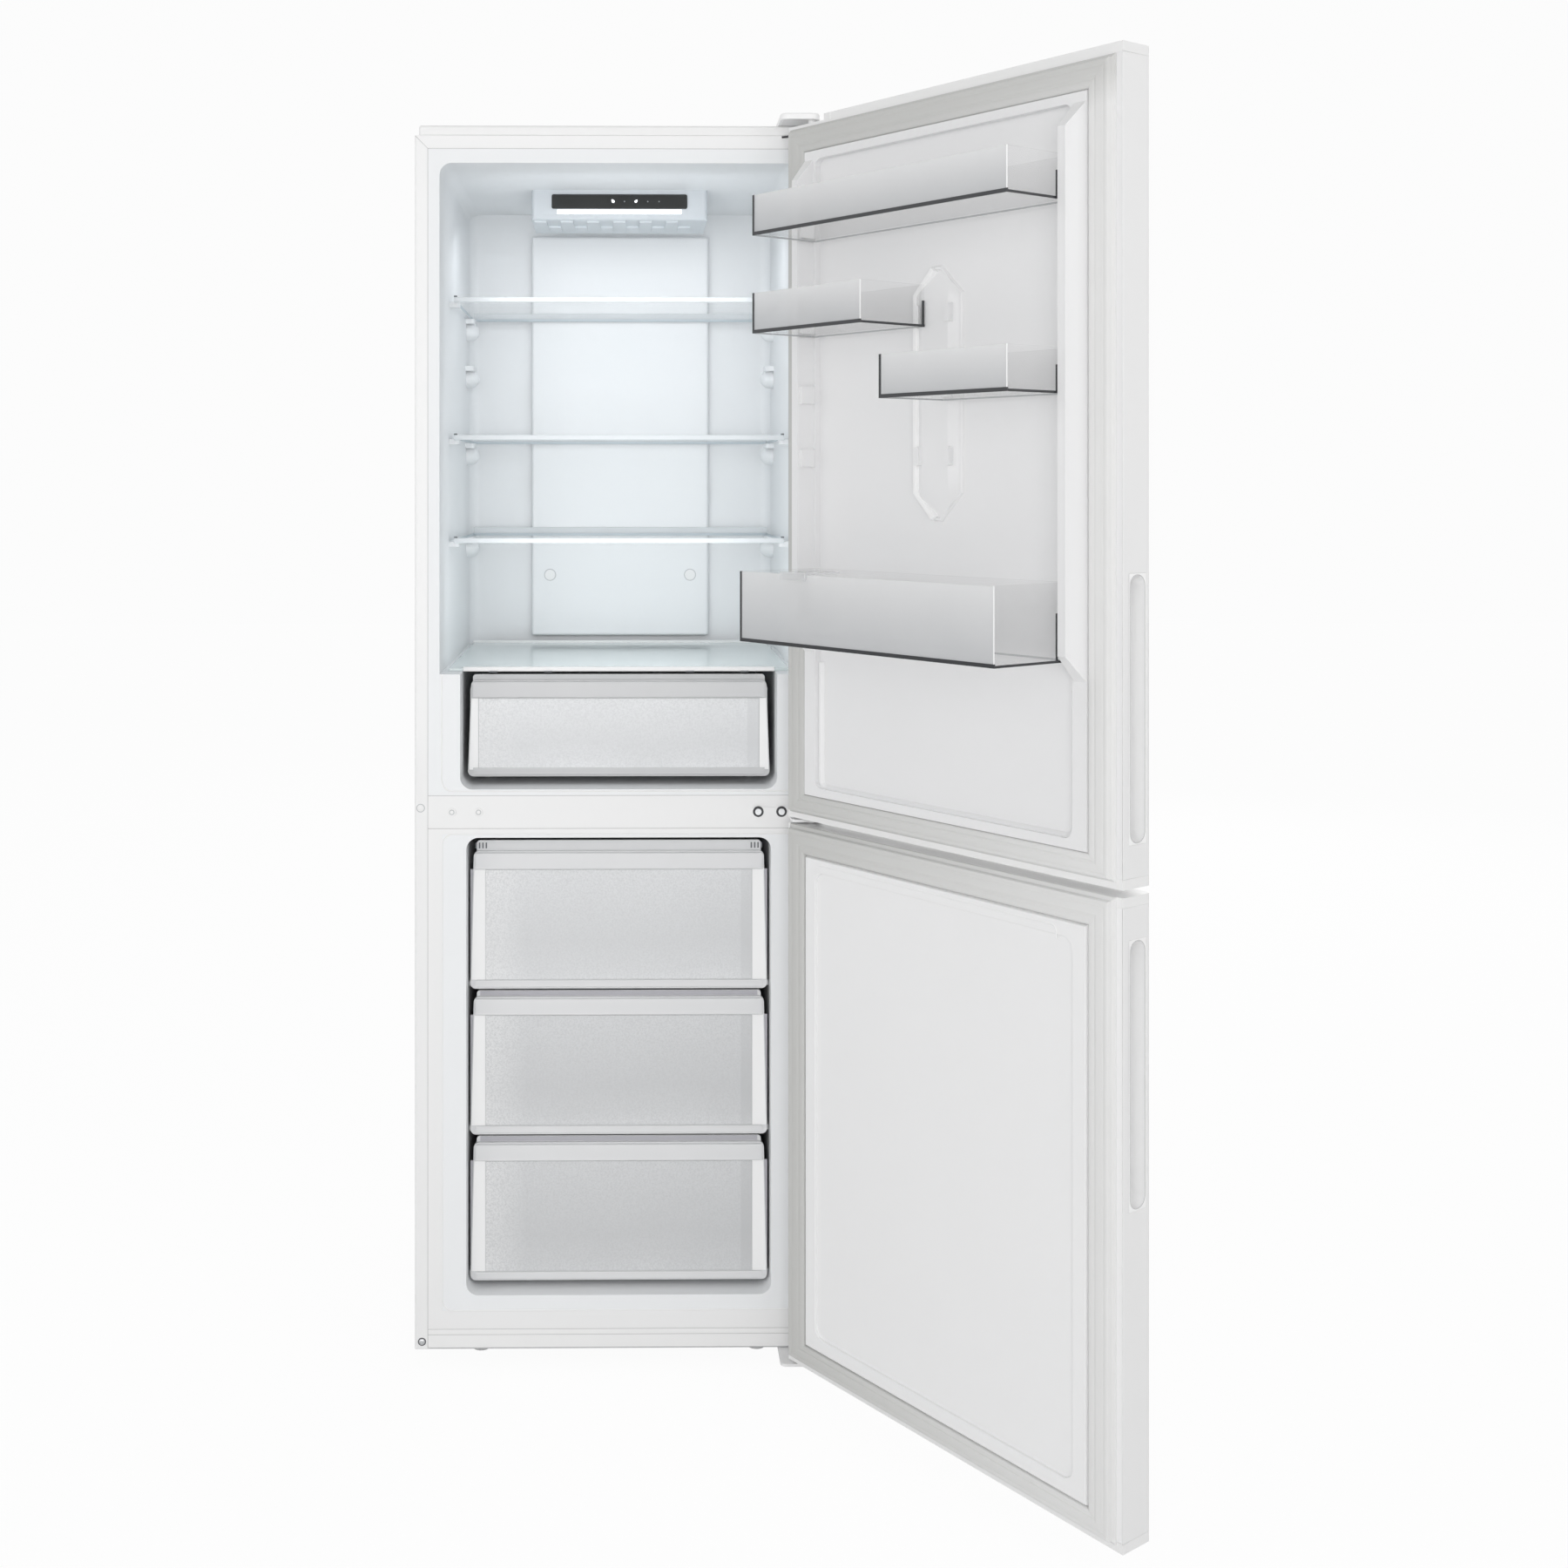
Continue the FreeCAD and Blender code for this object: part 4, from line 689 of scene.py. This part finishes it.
for node, look in drawers.items():
    low, high, side, front, body = look["low"], look["high"], look["side"], look["front"], look["body"]
    frost = frostedFace(node + "Frost", look["level"])
    shape = bmesh.new()
    addPlate(shape, oblong(side, low, high), front + faces["sink"], front - faces["proud"], faces["draft"])
    addPiece(node + "Face", shape, cabinetPlace, frost, body, faces["edge"], False)
    shape = bmesh.new()
    for way in (-1, 1):
        inner, top, foot = way * (side + faces["gap"]), way * look["wingTop"], way * look["wingFoot"]
        wing = [(inner, high), (top, high), (foot, low), (inner, low)]
        addPlate(shape, wing, front + faces["sink"], front - faces["wingProud"], faces["wingDraft"])
    addPiece(node + "Wings", shape, cabinetPlace, wingFinish, body, faces["wingEdge"], False)
    if "slope" in look:
        shape = bmesh.new()
        for way in (-1, 1):
            top, foot = way * (look["wingTop"] - faces["lap"]), way * (look["wingFoot"] - faces["lap"])
            outer = way * faces["flange"]
            slope = [(top, high), (outer, high), (outer, low), (foot, low)]
            addPlate(shape, slope, look["slope"] + faces["slopeDeep"], look["slope"], faces["slopeDraft"])
        addPiece(node + "Slope", shape, cabinetPlace, tubShadeFinish, body, smooth=False)
    if "rim" not in look:
        continue
    rim, rimY = oblong(faces["rimHalf"], *look["rim"]), faces["rimY"]
    shape = bmesh.new()
    addPlate(shape, rim, rimY + faces["rimSink"], rimY - faces["rimProud"], faces["rimDraft"])
    addPiece(node + "Rim", shape, cabinetPlace, tubShadeFinish, body, smooth=False)
print("drawer faces set")

# seams and beads of the front frame, all on the cabinet's front plane; the lowest seam line, along the foot,
# is painted shadow under the cabinet
seams = {"front": -295.0, "proud": 0.22, "width": 1.1, "cornerWidth": 0.88, "flange": 278.5, "top": 1776.0,
         "outer": 297.0, "outerTop": 1794.5, "foot": 27.0, "levels": (832.0, 784.0, 54.0, 46.0, 27.0)}
seamGrey = {"colour": (0.56, 0.56, 0.56), "shift": 0.03, "roughness": 0.5, "polish": 0.05, "cloudScale": 20.0,
            "grainScale": 800.0, "grain": 0.05, "grainDepth": 0.0001}
near, far = seams["front"] + sink, seams["front"] - seams["proud"]
side, foot, top = seams["flange"], seams["foot"], seams["top"]
shape = bmesh.new()
addTrack(shape, [(-side, foot), (-side, top), (side, top), (side, foot)], seams["width"], near, far)
# the last level, at the foot, is painted shadow under the cabinet
for level in seams["levels"]:
    addTrack(shape, [(-side, level), (side, level)], seams["width"], near, far)
for way in (-1, 1):
    outerCorner = (way * seams["outer"], seams["outerTop"])
    addTrack(shape, [outerCorner, (way * side, top)], seams["cornerWidth"], near, far)
addPiece("frameSeams", shape, cabinetPlace, moulded("seamGrey", seamGrey), "cabinet")
beads = {"width": 2.4, "proud": 0.7, "crown": 0.3, "lip": (-257.5, 257.5, 81.0, 776.0, 16.0),
         "ledge": (258.0, 838.4, 1008.0, 16.0)}
far = seams["front"] - beads["proud"]
shape = bmesh.new()
addTrack(shape, roundedPath(*beads["lip"]), beads["width"], near, far, True, beads["crown"])
addTrack(shape, openPath(*beads["ledge"]), beads["width"], near, far, False, beads["crown"])
addPiece("frameBeads", shape, cabinetPlace, finishes["white_steel"], "cabinet")

# castellated relief under the lamp housing
teeth = {"under": 1707.0, "drop": 3.0, "sink": 0.2, "half": 10.0, "step": 42.0, "count": range(-3, 3),
         "edge": 0.5, "rows": ((-49.0, 4.0, 0.0), (8.0, 58.0, 21.0))}
low, high = teeth["under"] - teeth["drop"], teeth["under"] + teeth["sink"]
shape = bmesh.new()
for nearY, farY, shift in teeth["rows"]:
    for i in teeth["count"]:
        x = i * teeth["step"] + shift
        addBlock(shape, (x - teeth["half"], nearY, low), (x + teeth["half"], farY, high))
addPiece("lampTeeth", shape, cabinetPlace, ownFinish["control_housing"], "cabinet",
         teeth["edge"])

# domed shelf supports on the side walls
knobs = {"wall": 261.5, "rear": 155.0, "drop": 21.0, "levels": (1567.0, 1355.9, 1198.1, 1487.0), "steps": 24,
         "dome": [(16.0, -0.5), (15.6, 7.0), (13.4, 14.0), (9.0, 19.0), (4.0, 21.2), (0, 21.8)]}
shape = bmesh.new()
for level in knobs["levels"]:
    for way in (-1, 1):
        centre = (way * knobs["wall"], knobs["rear"], level - knobs["drop"])
        addTurned(shape, centre, (-way, 0, 0), knobs["dome"], knobs["steps"])
addPiece("supportKnobs", shape, cabinetPlace, finishes["liner_plastic"], "cabinet")

# lower door: a faint pressed line that turns down at its end
press = {"door": -297.0, "start": 222.0, "end": -205.0, "level": 751.0, "drop": 16.0, "bend": 7.0, "steps": 7,
         "width": 2.4, "proud": 0.6, "crown": 0.3}
path = [(press["start"], press["level"])]
for i in range(press["steps"]):
    angle = math.radians(90 * i / (press["steps"] - 1))
    x = press["end"] + press["bend"] - press["bend"] * math.sin(angle)
    path.append((x, press["level"] - press["bend"] + press["bend"] * math.cos(angle)))
path.append((press["end"], press["level"] - press["drop"]))
near, far = press["door"] - sink, press["door"] + press["proud"]
shape = bmesh.new()
addTrack(shape, path, press["width"], near, far, False, press["crown"])
addPiece("linerPress", shape, doorPlace, lowerLinerFinish, "lower_door")

# a dark ring round each screw of the hinge plate: painted shade under its head
screwShade = {"screws": (203.5, 237.5), "plane": -298.0, "level": 808.5,
        "ring": [(4.7, -0.1), (4.7, 0.5), (7.6, 0.5), (7.9, -0.1)]}
shape = bmesh.new()
for x in screwShade["screws"]:
    addTurned(shape, (x, screwShade["plane"], screwShade["level"]), (0, -1, 0), screwShade["ring"])
addPiece("hingeScrewShade", shape, cabinetPlace, finishes["motor_plastic"], "cabinet")

# upper door liner: rolled edge round the pad and a soft cove along the border's root
liner = {"door": -307.0, "half": 41.5, "tip": 6.0, "spans": (1240.5, 1276.0, 1533.0, 1568.5), "roll": 7.0,
         "rise": 3.4, "rollCrown": 0.4, "rollEdge": 0.6}
lowTip, low, high, highTip = liner["spans"]
half, tip, door = liner["half"], liner["tip"], liner["door"]
hexagon = [(-tip, highTip), (tip, highTip), (half, high), (half, low), (tip, lowTip), (-tip, lowTip),
           (-half, low), (-half, high)]
shape = bmesh.new()
addTrack(shape, hexagon[::-1], liner["roll"], door - sink, door + liner["rise"], True, liner["rollCrown"])
addPiece("padRoll", shape, doorPlace, doorLinerFinish, "upper_door", liner["rollEdge"])
strip = {"path": [(3.0, 1567.5), (35.0, 1534.0), (35.0, 1275.0), (3.0, 1241.5)], "width": 13.0, "from": 0.5,
         "rise": 9.4, "crown": 0.5, "edge": 1.0}
# the strip is raised and drawn in a paler copy of the liner: painted light along the pad's hinge side
stripFinish = moulded("padWhite", dict(doorLiner, colour=(0.93, 0.93, 0.93)))
shape = bmesh.new()
near, far = door + strip["from"], door + strip["rise"]
addTrack(shape, strip["path"], strip["width"], near, far, False, strip["crown"])
addPiece("padStrip", shape, doorPlace, stripFinish, "upper_door", strip["edge"])
cove = {"half": 227.0, "low": 858.0, "high": 1036.0, "radius": 14.0, "width": 13.0, "rise": 4.2,
        "crown": 0.25, "edge": 0.8}
path = openPath(cove["half"], cove["low"], cove["high"], cove["radius"])
shape = bmesh.new()
addTrack(shape, path, cove["width"], door - sink, door + cove["rise"], False, cove["crown"])
addPiece("linerCove", shape, doorPlace, doorLinerFinish, "upper_door", cove["edge"])

# painted shadow at the top hinge: a dark mark between the cap and the door
hingeShadow = {"plane": -295.0, "path": ((238.0, 1793.0), (247.0, 1794.0), (253.0, 1798.0), (268.0, 1800.0)),
        "width": 3.4, "proud": 3.0, "edge": 0.4}
shape = bmesh.new()
addTrack(shape, hingeShadow["path"], hingeShadow["width"], hingeShadow["plane"] + sink, hingeShadow["plane"] - hingeShadow["proud"])
addPiece("hingeShadowMark", shape, cabinetPlace, finishes["motor_plastic"], "cabinet",
         hingeShadow["edge"])

# upper cap: the upright joint beside the hinge notch
capJoint = {"path": ((209.8, 1797.0), (209.8, 1806.5)), "width": 4.0, "proud": 0.6}
shape = bmesh.new()
addTrack(shape, capJoint["path"], capJoint["width"], door - sink, door + capJoint["proud"])
addPiece("capJoint", shape, doorPlace, finishes["white_plastic"], "upper_door")

# a fine lip round each hand grip, on the door's free edge
grips = {"edge": -297.5, "middle": -334.0, "half": 13.6, "radius": 12.6, "width": 1.4, "proud": 0.25,
         "spans": {"upper_door": (861.4, 1178.6), "lower_door": (428.4, 745.6)}}
gripLipFinish = moulded("gripLip", dict(seamGrey, colour=(0.60, 0.60, 0.60)))
quarterBack = Matrix.Rotation(math.radians(-90), 4, "Z")
gripPlace = doorPlace @ Matrix.Translation((grips["edge"], grips["middle"], 0)) @ quarterBack
for body, (low, high) in grips["spans"].items():
    path = roundedPath(-grips["half"], grips["half"], low, high, grips["radius"])
    shape = bmesh.new()
    addTrack(shape, path, grips["width"], sink, -grips["proud"], True)
    addPiece(body + "GripLip", shape, gripPlace, gripLipFinish, body)

# back: pressed stiffening ribs in the panel and its screws
rear = {"plane": 295.0, "ribs": (-210.0, -126.0, -42.0, 42.0, 126.0, 210.0), "span": (360.0, 1700.0),
        "width": 14.0, "proud": 1.4, "crown": 0.45, "edge": 0.6, "steps": 20,
        "head": [(5.0, 0.0), (4.8, 1.0), (3.8, 2.0), (2.2, 2.4), (1.8, 1.4), (0, 1.2)],
        "screws": ((-284, 330), (-284, 690), (-284, 1050), (-284, 1410), (-284, 1770), (284, 330),
                   (284, 690), (284, 1050), (284, 1410), (284, 1770), (-140, 1782), (140, 1782),
                   (-284, 45), (-284, 255), (284, 45), (284, 255), (0, 255))}
near, far = rear["plane"] - sink, rear["plane"] + rear["proud"]
shape = bmesh.new()
for x in rear["ribs"]:
    addTrack(shape, [(x, z) for z in rear["span"]], rear["width"], near, far, False, rear["crown"])
addPiece("rearRibs", shape, cabinetPlace, finishes["zinc_steel"], "cabinet", rear["edge"])
shape = bmesh.new()
for x, z in rear["screws"]:
    addTurned(shape, (x, near, z), (0, 1, 0), rear["head"], rear["steps"])
addPiece("rearScrews", shape, cabinetPlace, finishes["zinc_steel"], "cabinet")
print("seams, beads and back set")

# lit marks on the touch panel: each a drop, a disc with a point turned up and to one side
marks = {"front": -57.15, "deep": 0.2, "middle": 1736.5, "steps": 24, "disc": 0.62, "point": 0.5, "sharp": 6,
         "lit": ((-10.0, 3.6, -0.6), (26.0, 3.2, 0.7)), "dim": ((8.0, 1.1), (45.0, 1.1), (63.0, 1.1)),
         "dotSteps": 16, "dot": ((1.0, 0.0), (1.0, 0.15), (0.8, 0.2), (0.0, 0.2))}
markGlow = {"colour": (0.9, 0.92, 0.94, 1), "glow": 1.2, "dim": (0.86, 0.9, 0.95, 1), "scale": 300.0,
            "roughness": 0.4, "spread": 0.1}
markDim = {"colour": (0.25, 0.26, 0.27), "shift": 0.05, "roughness": 0.4, "polish": 0.05, "cloudScale": 60.0,
           "grainScale": 900.0, "grain": 0.05, "grainDepth": 0.0001}
shape = bmesh.new()
for x, reach, lean in marks["lit"]:
    outline = []
    for i in range(marks["steps"]):
        angle = 2 * math.pi * i / marks["steps"]
        rise = max(0.0, math.cos(angle - math.pi / 2 + lean)) ** marks["sharp"]
        out = reach * (marks["disc"] + marks["point"] * rise)
        spot = (x + out * math.cos(angle), marks["front"], marks["middle"] + out * math.sin(angle))
        outline.append(shape.verts.new(spot))
    drawn = bmesh.ops.extrude_face_region(shape, geom=[shape.faces.new(outline)])
    moved = [item for item in drawn["geom"] if isinstance(item, bmesh.types.BMVert)]
    bmesh.ops.translate(shape, verts=moved, vec=(0, marks["deep"], 0))
addPiece("panelMarks", shape, cabinetPlace, lit("markGlow", markGlow), "cabinet", smooth=False)
shape = bmesh.new()
for x, reach in marks["dim"]:
    dot = [(reach * share, rise) for share, rise in marks["dot"]]
    addTurned(shape, (x, marks["front"] + marks["deep"], marks["middle"]), (0, -1, 0), dot, marks["dotSteps"])
addPiece("panelDots", shape, cabinetPlace, moulded("markDim", markDim), "cabinet")

# small fixings in the flange: screw heads, a plug, and the rings round them and round the other plugs
fixings = {"front": -294.8, "steps": 24,
           "flangeScrews": {"spots": ((-287.0, 36.0), (287.0, 36.0)), "slot": "zinc_steel",
                            "head": [(4.6, 0.0), (4.5, 1.0), (3.6, 1.9), (2.2, 2.2), (1.9, 1.2), (0, 1.0)]},
           "flangePlugs": {"spots": ((-289.0, 814.0),), "slot": "white_plastic",
                           "head": [(5.0, 0.0), (5.0, 0.7), (4.2, 1.2), (0, 1.4)]}}


def addFixing(name):
    look = fixings[name]
    shape = bmesh.new()
    for x, z in look["spots"]:
        addTurned(shape, (x, fixings["front"], z), (0, -1, 0), look["head"], fixings["steps"])
    addPiece(name, shape, cabinetPlace, finishes[look["slot"]], "cabinet")


addFixing("flangeScrews")
rings = {"rise": 0.3, "wide": 1.2, "foot": 1.4,
         "Pale": {"colour": (0.56, 0.57, 0.58),
                  "spots": ((-243.5, -296.5, 808.0, 2.6), (-204.5, -296.5, 808.0, 2.6),
                            (121.0, 192.0, 1130.0, 9.0), (-121.0, 192.0, 1130.0, 9.0),
                            (-289.0, -295.0, 814.0, 5.0))},
         "Dark": {"colour": (0.10, 0.10, 0.11),
                  "spots": ((-287.0, -295.0, 36.0, 4.6), (287.0, -295.0, 36.0, 4.6))}}
for tone in ("Pale", "Dark"):
    shape = bmesh.new()
    for x, y, z, radius in rings[tone]["spots"]:
        outer, foot, rise = radius + rings["wide"], radius + rings["foot"], rings["rise"]
        ring = [(radius, -sink), (radius, rise), (outer, rise), (foot, -sink)]
        addTurned(shape, (x, y, z), (0, -1, 0), ring)
    ringFinish = moulded("ringGrey" + tone, dict(seamGrey, colour=rings[tone]["colour"]))
    addPiece("plugRings" + tone, shape, cabinetPlace, ringFinish, "cabinet")
addFixing("flangePlugs")

# shelf clips and the tinted edge of each glass
clipGrey = {"colour": (0.16, 0.17, 0.18), "shift": 0.05, "roughness": 0.45, "polish": 0.05,
            "cloudScale": 50.0, "grainScale": 800.0, "grain": 0.1}
lineBlue = {"colour": (0.50, 0.56, 0.60), "shift": 0.03, "roughness": 0.4, "polish": 0.05, "cloudScale": 20.0,
            "grainScale": 800.0, "grain": 0.05, "grainDepth": 0.0001}
clipGreyFinish = moulded("clipGrey", clipGrey)
lineBlueFinish = moulded("lineBlue", lineBlue)
shelves = {"half": 253.0, "levels": {1: 1567.0, 2: 1355.9, 3: 1198.1}}
shelfClip = {"wide": 5.0, "span": (-166.0, -159.0), "rise": (5.8, 8.2), "edge": 0.5}
shelfEdge = {"rear": 186.6, "front": -158.0, "glass": 4.0, "out": 0.15, "in": 1.2, "edge": 0.3}


def addPair(shape, outer, inner, spanY, spanZ):
    # the same block on the left and on the right
    for way in (-1, 1):
        low, high = sorted((way * outer, way * inner))
        addBlock(shape, (low, spanY[0], spanZ[0]), (high, spanY[1], spanZ[1]))


for number, level in shelves["levels"].items():
    rise = [level + height for height in shelfClip["rise"]]
    shape = bmesh.new()
    addPair(shape, shelves["half"], shelves["half"] - shelfClip["wide"], shelfClip["span"], rise)
    addPiece("shelfClips%d" % number, shape, cabinetPlace, clipGreyFinish, "shelf_%d" % number,
             shelfClip["edge"])
outer, inner = shelves["half"] + shelfEdge["out"], shelves["half"] - shelfEdge["in"]
rearY, joinY = shelfEdge["rear"], shelfEdge["rear"] - shelfEdge["in"]
for number, level in shelves["levels"].items():
    low, high = level - shelfEdge["out"], level + shelfEdge["glass"] + shelfEdge["out"]
    shape = bmesh.new()
    addBlock(shape, (-outer, joinY, low), (outer, rearY, high))
    addPair(shape, outer, inner, (shelfEdge["front"], joinY), (low, high))
    addPiece("shelfEdge%d" % number, shape, cabinetPlace, lineBlueFinish, "shelf_%d" % number,
             shelfEdge["edge"])

# moulded ticks on the top drawer's rim and clips of the strip over the crisper
ticks = {"from": 196.0, "step": 5.0, "count": 4, "half": 1.1, "spanY": (-259.6, -258.7),
         "spanZ": (748.0, 756.5), "edge": 0.3}
shape = bmesh.new()
for i in range(ticks["count"]):
    x = ticks["from"] + i * ticks["step"]
    addPair(shape, x + ticks["half"], x - ticks["half"], ticks["spanY"], ticks["spanZ"])
addPiece("rimTicks", shape, cabinetPlace, clipGreyFinish, "freezer_tray_1", ticks["edge"])
stripClip = {"spots": (105.0, 186.0), "half": 6.0, "spanY": (-257.3, -252.0), "spanZ": (1007.9, 1010.0),
             "edge": 0.3}
shape = bmesh.new()
for x in stripClip["spots"]:
    addPair(shape, x + stripClip["half"], x - stripClip["half"], stripClip["spanY"], stripClip["spanZ"])
addPiece("stripClips", shape, cabinetPlace, clipGreyFinish, "cabinet", stripClip["edge"])
print("fixings set")
